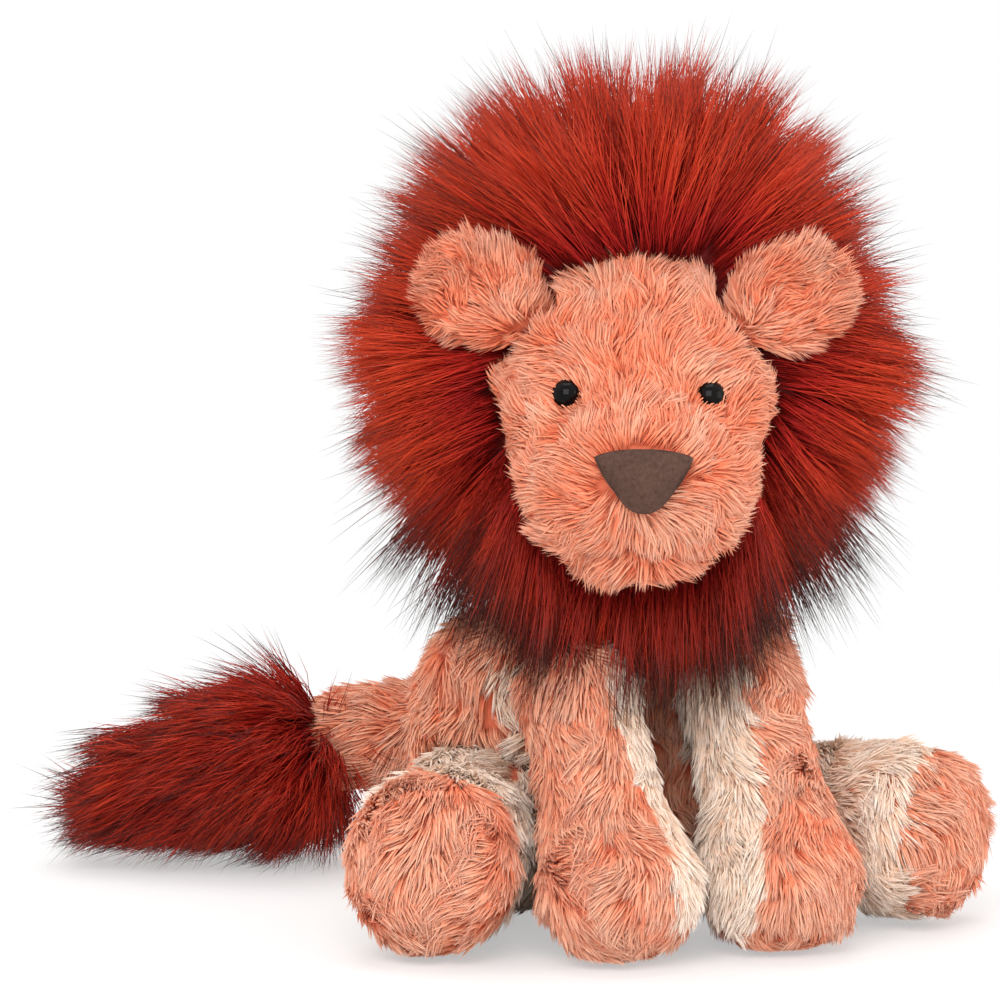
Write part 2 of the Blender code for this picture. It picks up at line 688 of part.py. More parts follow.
def torso(seats):
    stations = torso_stations()
    cover = subdivide(piece("torso_cover", loft(stations, WIDE_SIDES), "coral_plush"))
    core = loft(inset(stations, WALL + SEAM_GAP), BODY_CORE_SIDES)
    filling = subdivide(piece("torso_filling", core, "white_fibre"))
    inside = subdivide(piece("cut_inside_torso", loft(inset(stations, WALL), BODY_CORE_SIDES)))
    # The collar stands out of the torso as a ball, open at the top where both fillings meet.
    plug_top = math.sqrt(NECK_RADIUS**2 - NECK_OPENING**2)
    hollow = NECK_RADIUS - WALL
    boolean(cover, "UNION", ball("round_neck", NECK_RADIUS, NECK_PLACE, Z), solver=MANY_CUTS)
    within = ball("cut_inside_neck", hollow, NECK_PLACE, Z, steps=SMALL_STEPS)
    opening = rod("cut_neck_opening", NECK_OPENING, NECK_PLACE, Z, 0, OVERRUN * 2)
    core = ball("fill_neck", hollow - SEAM_GAP, NECK_PLACE, Z, steps=SMALL_STEPS)
    plug = rod("fill_neck_plug", NECK_OPENING - SEAM_GAP, NECK_PLACE, Z, 0, plug_top)
    boolean(inside, "UNION", within, opening, solver=MANY_CUTS)
    boolean(filling, "UNION", core, plug, solver=MANY_CUTS)
    boolean(cover, "DIFFERENCE", inside, floor_cut, *seats, solver=MANY_CUTS)
    boolean(filling, "DIFFERENCE", *seats, solver=MANY_CUTS)


def build():
    seats = legs()
    seats.append(tail())
    head()
    torso(seats)


build()
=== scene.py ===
import json
import math

import bmesh
import bpy
import numpy as np
from mathutils import Matrix, Vector, noise
from mathutils.bvhtree import BVHTree
from mathutils.kdtree import KDTree

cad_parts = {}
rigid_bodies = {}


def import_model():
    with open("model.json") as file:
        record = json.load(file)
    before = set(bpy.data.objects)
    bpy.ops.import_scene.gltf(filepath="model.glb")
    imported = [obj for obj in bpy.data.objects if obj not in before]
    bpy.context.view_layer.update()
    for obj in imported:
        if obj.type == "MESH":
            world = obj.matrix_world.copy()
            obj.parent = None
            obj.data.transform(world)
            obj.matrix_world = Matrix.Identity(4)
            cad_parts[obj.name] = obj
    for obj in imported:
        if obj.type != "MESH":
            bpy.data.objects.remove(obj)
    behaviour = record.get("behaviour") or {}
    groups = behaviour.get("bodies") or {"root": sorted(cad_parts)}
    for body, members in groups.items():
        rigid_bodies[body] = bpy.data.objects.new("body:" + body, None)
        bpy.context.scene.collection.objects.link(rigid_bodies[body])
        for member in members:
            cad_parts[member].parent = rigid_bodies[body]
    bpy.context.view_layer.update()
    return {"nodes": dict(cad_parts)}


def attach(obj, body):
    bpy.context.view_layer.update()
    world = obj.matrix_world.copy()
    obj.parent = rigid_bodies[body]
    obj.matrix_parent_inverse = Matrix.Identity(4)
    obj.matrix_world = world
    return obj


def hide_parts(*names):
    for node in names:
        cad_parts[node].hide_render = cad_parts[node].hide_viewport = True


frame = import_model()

nodes = frame["nodes"]
scene = bpy.context.scene
mm = 0.001
weld = 0.01 * mm  # vertices closer than this become one
tiny = 1e-9
up = Vector((0, 0, 1))
sides = {"left": 1, "right": -1}


def linear(hexColour):
    # a hex code of sRGB as linear RGBA
    parts = [int(hexColour[i:i + 2], 16) / 255 for i in (1, 3, 5)]
    return (*[p / 12.92 if p <= 0.04045 else ((p + 0.055) / 1.055) ** 2.4 for p in parts], 1)


def addNode(tree, kind, settings=None, links=None):
    node = tree.nodes.new(kind)
    for name, value in (settings or {}).items():
        if isinstance(name, str) and hasattr(node, name):
            setattr(node, name, value)
        else:
            node.inputs[name].default_value = value
    for name, socket in (links or {}).items():
        tree.links.new(socket, node.inputs[name])
    return node


def newMaterial(name, settings):
    made = bpy.data.materials.new(name)
    made.use_nodes = True
    shader = made.node_tree.nodes["Principled BSDF"]
    for socket, value in settings.items():
        shader.inputs[socket].default_value = value
    return made, made.node_tree, shader


def toneRamp(tree, factor, stops):
    ramp = addNode(tree, "ShaderNodeValToRGB", {}, {0: factor})
    elements = ramp.color_ramp.elements
    while len(elements) < len(stops):
        elements.new(0.5)
    for element, (place, colour) in zip(elements, stops):
        element.position = place
        element.color = linear(colour)
    return ramp.outputs[0]


def roughen(tree, shader, factor, low, high):
    rough = addNode(tree, "ShaderNodeMapRange", {"To Min": low, "To Max": high}, {"Value": factor})
    tree.links.new(rough.outputs["Result"], shader.inputs["Roughness"])


def emboss(tree, shader, height, strength, distance):
    bump = addNode(tree, "ShaderNodeBump", {"Strength": strength, "Distance": distance}, {"Height": height})
    tree.links.new(bump.outputs[0], shader.inputs["Normal"])


def newObject(name, mesh):
    obj = bpy.data.objects.new(name, mesh)
    scene.collection.objects.link(obj)
    return obj


def fromBmesh(name, bm, material=None):
    mesh = bpy.data.meshes.new(name)
    bm.to_mesh(mesh)
    bm.free()
    mesh.shade_smooth()
    if material:
        mesh.materials.append(material)
    return newObject(name, mesh)


def evaluatedMesh(obj):
    graph = bpy.context.evaluated_depsgraph_get()
    return bpy.data.meshes.new_from_object(obj.evaluated_get(graph))


def readRows(items, key, kind=np.float32, width=1):
    rows = np.empty(len(items) * width, kind)
    items.foreach_get(key, rows)
    return rows.reshape(-1, width) if width > 1 else rows


def applyModifiers(obj):
    made = evaluatedMesh(obj)
    obj.modifiers.clear()
    obj.data = made


def smooth(bm, verts):
    bmesh.ops.smooth_vert(bm, verts=verts, factor=0.5, use_axis_x=True, use_axis_y=True, use_axis_z=True)


def settle(piece, body, stoodFor=()):
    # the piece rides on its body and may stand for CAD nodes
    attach(piece, body)
    if stoodFor:
        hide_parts(*stoodFor)


view = {
    "azimuth": -19, "elevation": 9, "lens": 334, "distance": 2.598,
    "right": -0.0274, "up": 0.1121, "nearer": 0.0345,
}


def addCamera():
    turn, tilt = math.radians(-view["azimuth"]), math.radians(view["elevation"])
    right = Vector((math.cos(turn), -math.sin(turn), 0))
    ahead = Vector((math.sin(turn), math.cos(turn), 0))
    aim = ahead * math.cos(tilt) - up * math.sin(tilt)
    upwards = ahead * math.sin(tilt) + up * math.cos(tilt)
    data = bpy.data.cameras.new("camera")
    data.lens = view["lens"]
    data.clip_start, data.clip_end = 0.05, 100
    camera = newObject("camera", data)
    away = aim * (view["nearer"] + view["distance"])
    camera.location = right * view["right"] + upwards * view["up"] - away
    camera.rotation_mode = "QUATERNION"
    camera.rotation_quaternion = aim.to_track_quat("-Z", "Y")
    scene.camera = camera


lamps = {
    "key": {"place": (-1.1, -2.0, 1.75), "size": 1.8, "power": 44},
    "fill": {"place": (2.2, -1.7, 0.9), "size": 1.8, "power": 20},
    "top": {"place": (0.1, 0.5, 2.6), "size": 1.6, "power": 18},
}
lampTarget = Vector((0, -0.03, 0.11))


def addLamps():
    for name, lamp in lamps.items():
        data = bpy.data.lights.new(name, "AREA")
        data.size = lamp["size"]
        data.energy = lamp["power"]
        obj = newObject(name, data)
        obj.location = lamp["place"]
        obj.rotation_mode = "QUATERNION"
        obj.rotation_quaternion = (lampTarget - obj.location).to_track_quat("-Z", "Y")


studio = {  # the room's light, and the paper, which turns white with the distance from the lion
    "light": 0.82, "paper": "#F6F4F3", "paperSize": 20, "paperDrop": 0.0006,
    "leastWhite": 0.45, "fadeStart": 0.16, "fadeEnd": 0.42,
}


def seenByEye(tree):
    # 1 for rays of the camera, of gloss and of glass
    path = addNode(tree, "ShaderNodeLightPath")
    first = addNode(tree, "ShaderNodeMath", {"operation": "MAXIMUM"},
                    {0: path.outputs["Is Camera Ray"], 1: path.outputs["Is Glossy Ray"]})
    return addNode(tree, "ShaderNodeMath", {"operation": "MAXIMUM"},
                   {0: first.outputs[0], 1: path.outputs["Is Transmission Ray"]}).outputs[0]


def addWorld():
    world = bpy.data.worlds.new("studio")
    world.use_nodes = True
    scene.world = world
    tree = world.node_tree
    background = tree.nodes["Background"]
    soft = addNode(tree, "ShaderNodeMix", {"data_type": "FLOAT", 2: studio["light"], 3: 1.0},
                   {0: seenByEye(tree)})
    tree.links.new(soft.outputs["Result"], background.inputs["Strength"])
    background.inputs["Color"].default_value = (1, 1, 1, 1)


def addFloor():
    bm = bmesh.new()
    bmesh.ops.create_grid(bm, x_segments=1, y_segments=1, size=studio["paperSize"])
    made, tree, shader = newMaterial("paper_sweep", {"Base Color": linear(studio["paper"]), "Roughness": 0.9})
    output = tree.nodes["Material Output"]
    place = addNode(tree, "ShaderNodeTexCoord").outputs["Object"]
    away = addNode(tree, "ShaderNodeVectorMath", {"operation": "LENGTH"}, {0: place}).outputs["Value"]
    far = addNode(tree, "ShaderNodeMapRange", {
        "interpolation_type": "SMOOTHSTEP", "From Min": studio["fadeStart"], "From Max": studio["fadeEnd"],
        "To Min": studio["leastWhite"],
    }, {"Value": away})
    amount = addNode(tree, "ShaderNodeMath", {"operation": "MULTIPLY"},
                     {0: far.outputs["Result"], 1: seenByEye(tree)})
    white = addNode(tree, "ShaderNodeEmission", {"Color": (1, 1, 1, 1), "Strength": 1.0})
    mix = addNode(tree, "ShaderNodeMixShader", {},
                  {0: amount.outputs[0], 1: shader.outputs[0], 2: white.outputs[0]})
    tree.links.new(mix.outputs[0], output.inputs["Surface"])
    floor = fromBmesh("floor", bm, made)
    floor.location.z = -studio["paperDrop"]


scene.view_settings.view_transform = "Standard"
addCamera()
addLamps()
addWorld()
addFloor()
print("camera, light and floor")


def pileCloth(name, rootTones, tipTones, rough):
    # acrylic pile: u picks the strand's tone between two, v runs from its root to its tip
    made, tree, shader = newMaterial(name, {"Specular IOR Level": 0.25, "IOR": 1.5})
    place = addNode(tree, "ShaderNodeUVMap", {"uv_map": "OFBake"})
    split = addNode(tree, "ShaderNodeSeparateXYZ", {}, {0: place.outputs[0]})
    mix = addNode(tree, "ShaderNodeMix", {"data_type": "RGBA"}, {0: split.outputs["X"]})
    for socket, tones in (("A", rootTones), ("B", tipTones)):
        tree.links.new(toneRamp(tree, split.outputs["Y"], tones), mix.inputs[socket])
    tree.links.new(mix.outputs["Result"], shader.inputs["Base Color"])
    roughen(tree, shader, split.outputs["Y"], *rough)
    return made


def knitBacking(name, tone, shadeTone):
    # knitted polyester backing under the pile: dull, with loops about 1 mm apart
    made, tree, shader = newMaterial(name, {"Roughness": 0.95, "Sheen Weight": 0.2})
    place = addNode(tree, "ShaderNodeTexCoord").outputs["Object"]
    loops = addNode(tree, "ShaderNodeTexVoronoi", {"Scale": 1000.0}, {"Vector": place})
    patches = addNode(tree, "ShaderNodeTexNoise", {"Scale": 90.0, "Detail": 3.0}, {"Vector": place})
    tones = toneRamp(tree, patches.outputs["Fac"], ((0.35, shadeTone), (0.65, tone)))
    tree.links.new(tones, shader.inputs["Base Color"])
    emboss(tree, shader, loops.outputs["Distance"], 0.4, 0.3 * mm)
    return made


plushPiles = {
    "coral": pileCloth(
        "coral_plush_pile",
        ((0.0, "#E66C4A"), (0.3, "#E57650"), (0.7, "#E68A66"), (1.0, "#E9A082")),
        ((0.0, "#EA8E6A"), (0.3, "#EAA280"), (0.65, "#ECB294"), (1.0, "#EFC4AE")),
        (0.85, 0.62),
    ),
    "cream": pileCloth(
        "cream_plush_pile",
        ((0.0, "#EABA98"), (0.4, "#EECAAE"), (0.75, "#F3DCC8"), (1.0, "#F7E8DA")),
        ((0.0, "#F0CAAC"), (0.4, "#F4DAC4"), (0.7, "#F8E7D8"), (1.0, "#FBF1E7")),
        (0.85, 0.62),
    ),
}
redPile = pileCloth(
    "red_long_pile",
    ((0.0, "#700A0C"), (0.35, "#9E1414"), (0.75, "#B82A16"), (1.0, "#962214")),
    ((0.0, "#981210"), (0.35, "#C62418"), (0.7, "#DC4620"), (1.0, "#C84424")),
    (0.7, 0.45),
)
guardHair = pileCloth(
    "dark_tipped_guard_hair",
    ((0.0, "#7A100A"), (0.55, "#8E1A10"), (0.75, "#3A1410"), (1.0, "#14100F")),
    ((0.0, "#8C160C"), (0.55, "#A62814"), (0.78, "#4A1C14"), (1.0, "#1C1514")),
    (0.5, 0.35),
)
coralBacking = knitBacking("coral_knit_backing", "#DE7552", "#CC5C3A")
redBacking = knitBacking("red_knit_backing", "#6A0C08", "#480605")
print("cloths")


headPose = {"centre": (-1.7, -34, 145.8), "turn": -17, "tilt": 1}


def headMatrix():
    turn = Matrix.Rotation(math.radians(headPose["turn"]), 4, "Z")
    tilt = Matrix.Rotation(math.radians(headPose["tilt"]), 4, "Y")
    return Matrix.Translation(Vector(headPose["centre"]) * mm) @ (turn @ tilt)


headFrame = headMatrix()
toHead = headFrame.inverted()


def toHeadRows(place):
    return (place - np.array(headFrame.translation)) @ np.array(headFrame.to_3x3())


def largestShell(bm):
    left, best = set(bm.verts), []
    while left:
        shell, edge = [], [left.pop()]
        while edge:
            vert = edge.pop()
            shell.append(vert)
            for link in vert.link_edges:
                other = link.other_vert(vert)
                if other in left:
                    left.discard(other)
                    edge.append(other)
        best = max(best, shell, key=len)
    keep = set(best)
    bmesh.ops.delete(bm, geom=[v for v in bm.verts if v not in keep], context="VERTS")


skinTools = {"voxel": 4, "steps": 4}


def makeSkin(name, sizes):
    # the covers and their filling melted into one closed form, then drawn in to the backing cloth
    bm = bmesh.new()
    for node in sizes["covers"]:
        bm.from_mesh(nodes[node].data)
    bmesh.ops.remove_doubles(bm, verts=bm.verts, dist=weld)
    skin = fromBmesh(name, bm)
    remesh = skin.modifiers.new("Remesh", "REMESH")
    remesh.mode = "VOXEL"
    remesh.voxel_size = sizes.get("voxel", skinTools["voxel"]) * mm
    applyModifiers(skin)
    bm = bmesh.new()
    bm.from_mesh(skin.data)
    largestShell(bm)
    drawIn = sizes["drawIn"] * mm
    for _ in range(skinTools["steps"]):
        smooth(bm, bm.verts)
        bm.normal_update()
        for vert in bm.verts:
            vert.co -= vert.normal * drawIn / skinTools["steps"]
    bm.normal_update()
    if "form" in sizes:
        moves = [(vert, sizes["form"](vert.co, vert.normal)) for vert in bm.verts]
        for vert, move in moves:
            vert.co += move
        bm.normal_update()
    pinned = []
    if "seams" in sizes:
        for vert in bm.verts:
            depth = sizes["seams"](vert.co)
            if depth > 0:
                vert.co -= vert.normal * depth
                pinned.append(vert.index)
    bm.to_mesh(skin.data)
    bm.free()
    group = skin.vertex_groups.new(name="seam")
    group.add(pinned, 1.0, "REPLACE")
    return skin


stuffing = {"pressure": 4.0, "frames": 16, "cap": 2.5 * mm}


def stuffAll(skins):
    # cloth under pressure, held at its seams, fills out between them
    before = {}
    for skin in skins:
        cloth = skin.modifiers.new("Cloth", "CLOTH")
        cloth.settings.use_pressure = True
        cloth.settings.uniform_pressure_force = stuffing["pressure"]
        cloth.settings.effector_weights.gravity = 0
        cloth.settings.vertex_group_mass = "seam"
        cloth.point_cache.frame_start = 1
        cloth.point_cache.frame_end = stuffing["frames"]
        before[skin.name] = np.array([v.co for v in skin.data.vertices])
    for number in range(1, stuffing["frames"] + 1):
        scene.frame_set(number)
    for skin in skins:
        applyModifiers(skin)
        start = before[skin.name]
        moved = np.array([v.co for v in skin.data.vertices]) - start
        far = np.linalg.norm(moved, axis=1, keepdims=True)
        moved *= np.minimum(1, stuffing["cap"] / np.maximum(far, tiny))
        skin.data.vertices.foreach_set("co", (start + moved).astype(np.float32).ravel())
    scene.frame_set(1)


def clamped(value):
    return min(1.0, max(0.0, value))


def groove(distance, width=3 * mm, depth=1.2 * mm):
    return depth * max(0.0, 1 - abs(distance) / width)


def planeSeams(point, normal):
    return lambda co: groove((co - point).dot(normal))


# the coral middle of the belly, between the front legs, is painted shade
belly = {  # in mm where it has no unit; cream lies between the coral middle and the seams
    "drawnIn": 9, "halfWidth": 17 * mm, "bottom": 15 * mm, "seam": 40 * mm,
    "cream": 15 * mm, "creamFront": -8 * mm, "creamTop": 76 * mm,
}


def bellyForm(co, normal):
    # the belly is drawn in between the front legs
    if co.y > 0:
        return Vector()
    middle = max(0.0, 1 - (co.x / belly["halfWidth"]) ** 2)
    return -normal * belly["drawnIn"] * mm * middle * clamped(co.z / belly["bottom"])


def torsoSeams(co):
    front = groove(abs(co.x) - belly["seam"]) if co.y < 0 else 0
    back = groove(co.x) if co.y > 0 else 0
    return max(front, back)


crown = {"width": 2.5 * mm, "depth": 0.8 * mm}
mouth = {
    "drop": 31 * mm, "curve": 90, "front": -35 * mm, "halfWidth": 24 * mm, "width": 5 * mm, "depth": 4 * mm,
}


def headSeams(co):
    place = toHead @ co
    middle = groove(place.x, crown["width"], crown["depth"]) if place.z > 0 and place.y < 0 else 0
    drop = place.z + mouth["drop"] + (place.x / mm) ** 2 / mouth["curve"] * mm
    inMouth = place.y < mouth["front"] and abs(place.x) < mouth["halfWidth"]
    return max(middle, groove(drop, mouth["width"], mouth["depth"]) if inMouth else 0)


def swell(place, centre, size):
    # 1 at the centre, 0 beyond the size, all in mm
    away = Vector([(place[i] / mm - centre[i]) / size[i] for i in range(3)]).length_squared
    return max(0.0, 1 - away) ** 2


faceForm = {  # centre, size and height of each swell
    "muzzle": ((0, -50, -14), (34, 38, 27), 4.5),
    "lip": ((12, -54, -15), (27, 36, 19), 2.0),  # two lobes beside the nose
    "chin": ((0, -48, -33), (34, 30, 12), 2.5),
    "brow": ((18, -36, 22), (22, 24, 12), 2.5),
    "socket": ((20, -44, 6), (14, 15, 9), -4.0),
    "bridge": ((0, -46, 2), (20, 24, 14), 3.0),
}
jaw = {"heights": (-40, -36, -31, -8, 6), "narrowing": (-0.2, 0, 0.11, 0.13, 0)}


def headForm(co, normal):
    place = toHead @ co
    out = sum(swell((abs(place.x), place.y, place.z), *lobe[:2]) * lobe[2] for lobe in faceForm.values())
    share = float(np.interp(place.z / mm, jaw["heights"], jaw["narrowing"]))
    return normal * out * mm + headFrame.to_3x3() @ Vector((-place.x * share, 0, 0))


ears = {  # in mm where it has no unit
    "foot": (30.5, -4, 23), "lean": 52, "height": 34 * mm, "droop": 3, "middle": 17,
    "widerFoot": 0.2, "narrower": 0.12, "hollowWidth": 13 * mm, "hollowDepth": 4,
}


def earFoot(sign):
    across, ahead, rise = ears["foot"]
    return headFrame @ (Vector((across * sign, ahead, rise)) * mm)


def earForm(sign):
    # the ear is sewn wide at its foot, and its front is hollow
    lean = math.radians(ears["lean"])
    rise = headFrame.to_3x3() @ Vector((sign * math.sin(lean), 0, math.cos(lean)))
    hinge = earFoot(sign)
    across = (headFrame.to_3x3() @ Vector((0, 1, 0))).cross(rise)

    def form(co, normal):
        away = co - hinge
        height = away.dot(rise) / ears["height"]
        wider = ears["widerFoot"] * clamped(1 - 2 * height) - ears["narrower"]
        droop = -up * ears["droop"] * mm * clamped(height)
        middle = away - rise * ears["middle"] * mm
        hollow = max(0.0, 1 - (middle.length / ears["hollowWidth"]) ** 2) * max(0.0, -normal.y)
        return across * away.dot(across) * wider + droop - normal * ears["hollowDepth"] * mm * hollow
    return form


paws = {"swell": 4, "top": 38 * mm, "height": 18 * mm}
feet = {"bulge": 3.5 * mm, "height": 50 * mm, "start": 30 * mm, "length": 25 * mm}


def pawForm(co, normal):
    # the front paws swell towards the floor
    return normal * paws["swell"] * mm * clamped((paws["top"] - co.z) / paws["height"])


def footForm(co, normal):
    # the stuffed foot bulges upwards
    along = clamped((-co.y - feet["start"]) / feet["length"])
    return Vector((0, 0, feet["bulge"])) * clamped(co.z / feet["height"]) * along


shoulder, paw = Vector((24, -52, 67)) * mm, Vector((23.5, -84, 22.3)) * mm
hip, foot = Vector((42, -20, 27)) * mm, Vector((68.5, -61, 24.4)) * mm
innerSeam = Vector((18, 0, 0)) * mm
hindLegs = {  # from the hip to the seam of the coral foot, and how far the seam turns outwards
    "left": {"seam": 54 * mm, "turned": Vector((0.6, 0, 0)), "drawIn": 3.2},
    "right": {"seam": 47 * mm, "turned": Vector(), "drawIn": 2.4},
}
skinSizes = {  # in mm
    "torso": {
        "covers": ("torso_cover", "torso_filling"), "drawIn": 1.5, "seams": torsoSeams, "form": bellyForm,
    },
    "head": {"covers": ("head_cover", "head_filling"), "drawIn": 4.0, "seams": headSeams, "form": headForm},
    "ear_left": {"covers": ("ear_left",), "voxel": 2.5, "drawIn": 4.0, "form": earForm(1)},
    "ear_right": {"covers": ("ear_right",), "voxel": 2.5, "drawIn": 4.0, "form": earForm(-1)},
    "tail": {"covers": ("tail_cover", "tail_filling"), "drawIn": 2.0},
}
for side, sign in sides.items():
    mirrored = Vector((sign, 1, 1))
    leg = hindLegs[side]
    leg["reach"] = ((foot - hip) * mirrored).normalized()
    leg["seamPoint"] = hip * mirrored + leg["reach"] * leg["seam"]
    leg["seamNormal"] = leg["reach"] + leg["turned"]
    skinSizes["front_leg_" + side] = {
        "covers": tuple(f"front_leg_{side}_{part}" for part in ("cover", "inner_panel", "filling")),
        "drawIn": 4.5, "form": pawForm, "seams": planeSeams(innerSeam * mirrored, Vector((1, 0, 0))),
    }
    skinSizes["hind_leg_" + side] = {
        "covers": tuple(f"hind_leg_{side}_{part}" for part in ("cover", "foot", "filling")),
        "drawIn": leg["drawIn"], "form": footForm,
        "seams": planeSeams(leg["seamPoint"], leg["seamNormal"].normalized()),
    }

skins = {body: makeSkin(body + "_backing", sizes) for body, sizes in skinSizes.items()}
print("skins remeshed")
stuffAll(list(skins.values()))
print("skins stuffed")


def finishSkin(skin):
    soft = skin.modifiers.new("Soft", "SUBSURF")
    soft.levels = soft.render_levels = 1
    applyModifiers(skin)
    skin.data.shade_smooth()
    skin.vertex_groups.clear()


for body, skin in skins.items():
    finishSkin(skin)
    skin.data.materials.clear()
    skin.data.materials.append(coralBacking)
    settle(skin, body, skinSizes[body]["covers"])
print("skins finished")


def varied(rng, spread, count=None):
    # 1 on average, evenly spread
    return 1 - spread / 2 + spread * rng.random(count)


fibre = {
    "widest": 0.3, "widestVaries": 0.25,  # along a blade, as shares of its length
    "narrows": 0.25, "bendVaries": 0.6, "radiusVaries": 0.5, "turns": 0.5, "waves": 3, "phases": 6.28,
}


def addFibre(bm, layer, rng, spec):
    # a closed fibre from z 0 to its tip, which bends towards x:
    # a bent blade or, with rings, a three-sided spindle
    made = bmesh.ops.create_cone(bm, cap_ends=True, segments=3, radius1=1, radius2=0, depth=1)
    tip = max(made["verts"], key=lambda vert: vert.co.z)
    ring = [vert for vert in made["verts"] if vert is not tip]
    place = {tip: (1.0, 0.0, 0.0)}
    if spec["rings"]:
        widest = spec["rings"][0]
        cap = next(face for face in ring[0].link_faces if tip not in face.verts)
        root = bmesh.ops.poke(bm, faces=[cap])["verts"][0]
        place[root] = (0.0, 0.0, 0.0)
        place.update({vert: (widest, vert.co.x, vert.co.y) for vert in ring})
        for level in spec["rings"][1:]:
            along = (level - widest) / (1 - widest)
            shell = {link for vert in (tip, *ring) for link in vert.link_edges if tip in link.verts}
            faces = {face for link in shell for face in link.link_faces}
            cut = bmesh.ops.bisect_plane(bm, geom=[tip, *ring, *shell, *faces], plane_co=(0, 0, along - 0.5),
                                         plane_no=(0, 0, 1))
            for vert in cut["geom_cut"]:
                if isinstance(vert, bmesh.types.BMVert):
                    way = vert.co.xy.normalized() * (1 - fibre["narrows"] * along)
                    place[vert] = (level, way.x, way.y)
    else:
        widest = fibre["widest"] + fibre["widestVaries"] * rng.random()
        place.update({ring[0]: (0.0, 0.0, 0.0), ring[1]: (widest, 0.0, -1.0), ring[2]: (widest, 0.0, 1.0)})
    angle, far = rng.random() * 2 * math.pi, math.sqrt(rng.random())
    foot = Vector((math.cos(angle), math.sin(angle))) * far * spec["spread"]
    end = foot * spec["gather"] + Vector(rng.normal(0, spec["stray"], 2))
    height = 1 - spec["uneven"] * rng.random()
    bend = spec["bend"] * varied(rng, fibre["bendVaries"])
    wave, phase = Vector(rng.normal(0, spec["wave"], 2)), rng.random() * fibre["phases"]
    radius = spec["radius"] * varied(rng, fibre["radiusVaries"])
    turn = Matrix.Rotation(rng.normal(0, fibre["turns"]), 2)
    for face in {face for vert in place for face in vert.link_faces}:
        for loop in face.loops:
            t, x, y = place[loop.vert]
            loop[layer].uv = (0.5 + 0.45 * y, t)
    for vert, (t, x, y) in place.items():
        wander = wave * math.sin(fibre["waves"] * t + phase) * t
        middle = foot.lerp(end, t) + Vector((bend * t * t, 0)) + wander
        middle += turn @ Vector((x, y)) * radius
        vert.co = Vector((middle.x, middle.y, t * height))


def makeTufts(name, spec, kinds, seed):
    # a hidden collection of tufts that are alike but not the same
    rng = np.random.default_rng(seed)
    group = bpy.data.collections.new(name)
    for kind in range(kinds):
        bm = bmesh.new()
        layer = bm.loops.layers.uv.new("OFBake")
        for _ in range(spec["fibres"]):
            addFibre(bm, layer, rng, spec)
        bmesh.ops.recalc_face_normals(bm, faces=bm.faces)
        mesh = bpy.data.meshes.new(f"{name}_{kind:02d}")
        bm.to_mesh(mesh)
        bm.free()
        if spec["rings"]:
            mesh.shade_smooth()
        group.objects.link(bpy.data.objects.new(mesh.name, mesh))
    return group


def plantingTree(group):
    # puts a tuft of the group on each root, by the root's attributes
    tree = bpy.data.node_groups.new("planting_" + group.name, "GeometryNodeTree")
    tree.interface.new_socket("Roots", in_out="INPUT", socket_type="NodeSocketGeometry")
    tree.interface.new_socket("Pile", in_out="OUTPUT", socket_type="NodeSocketGeometry")
    start = addNode(tree, "NodeGroupInput")
    end = addNode(tree, "NodeGroupOutput")
    source = addNode(tree, "GeometryNodeCollectionInfo", {"Separate Children": True, "Reset Children": True})
    source.inputs["Collection"].default_value = group
    links = {"Points": start.outputs[0], "Instance": source.outputs[0]}
    for socket, label, kind in (
        ("Rotation", "turn", "QUATERNION"), ("Scale", "size", "FLOAT_VECTOR"),
        ("Instance Index", "kind", "INT"),
    ):
        named = addNode(tree, "GeometryNodeInputNamedAttribute", {"data_type": kind, "Name": label})
        links[socket] = named.outputs["Attribute"]
    planted = addNode(tree, "GeometryNodeInstanceOnPoints", {"Pick Instance": True}, links)
    real = addNode(tree, "GeometryNodeRealizeInstances", {}, {"Geometry": planted.outputs[0]})
    tree.links.new(real.outputs[0], end.inputs[0])
    return tree


def unit(rows):
    return rows / np.maximum(np.linalg.norm(rows, axis=1, keepdims=True), tiny)


def gathered(place, aim, length, roots, amount, seed):
    # tips lean towards that of the nearest of a few leading tufts, which parts the pile into locks
    rng = np.random.default_rng(seed)
    leaders = rng.permutation(len(place))[:max(1, len(place) // roots)]
    tree = KDTree(len(leaders))
    for number, leader in enumerate(leaders):
        tree.insert(place[leader], number)
    tree.balance()
    nearest = leaders[[tree.find(root)[1] for root in place]]
    tips = place + aim * length[:, None]
    return unit(tips * (1 - amount) + tips[nearest] * amount - place)


def tall(length):
    return np.stack([np.ones_like(length), np.ones_like(length), length], 1)


def picked(rows, chosen):
    return {key: values[chosen] for key, values in rows.items()}


pressed = {"height": 1.2 * mm, "left": 0.05}  # pile below this height lies flat on the floor
strandShare = 0.12  # of the tone, within one tuft


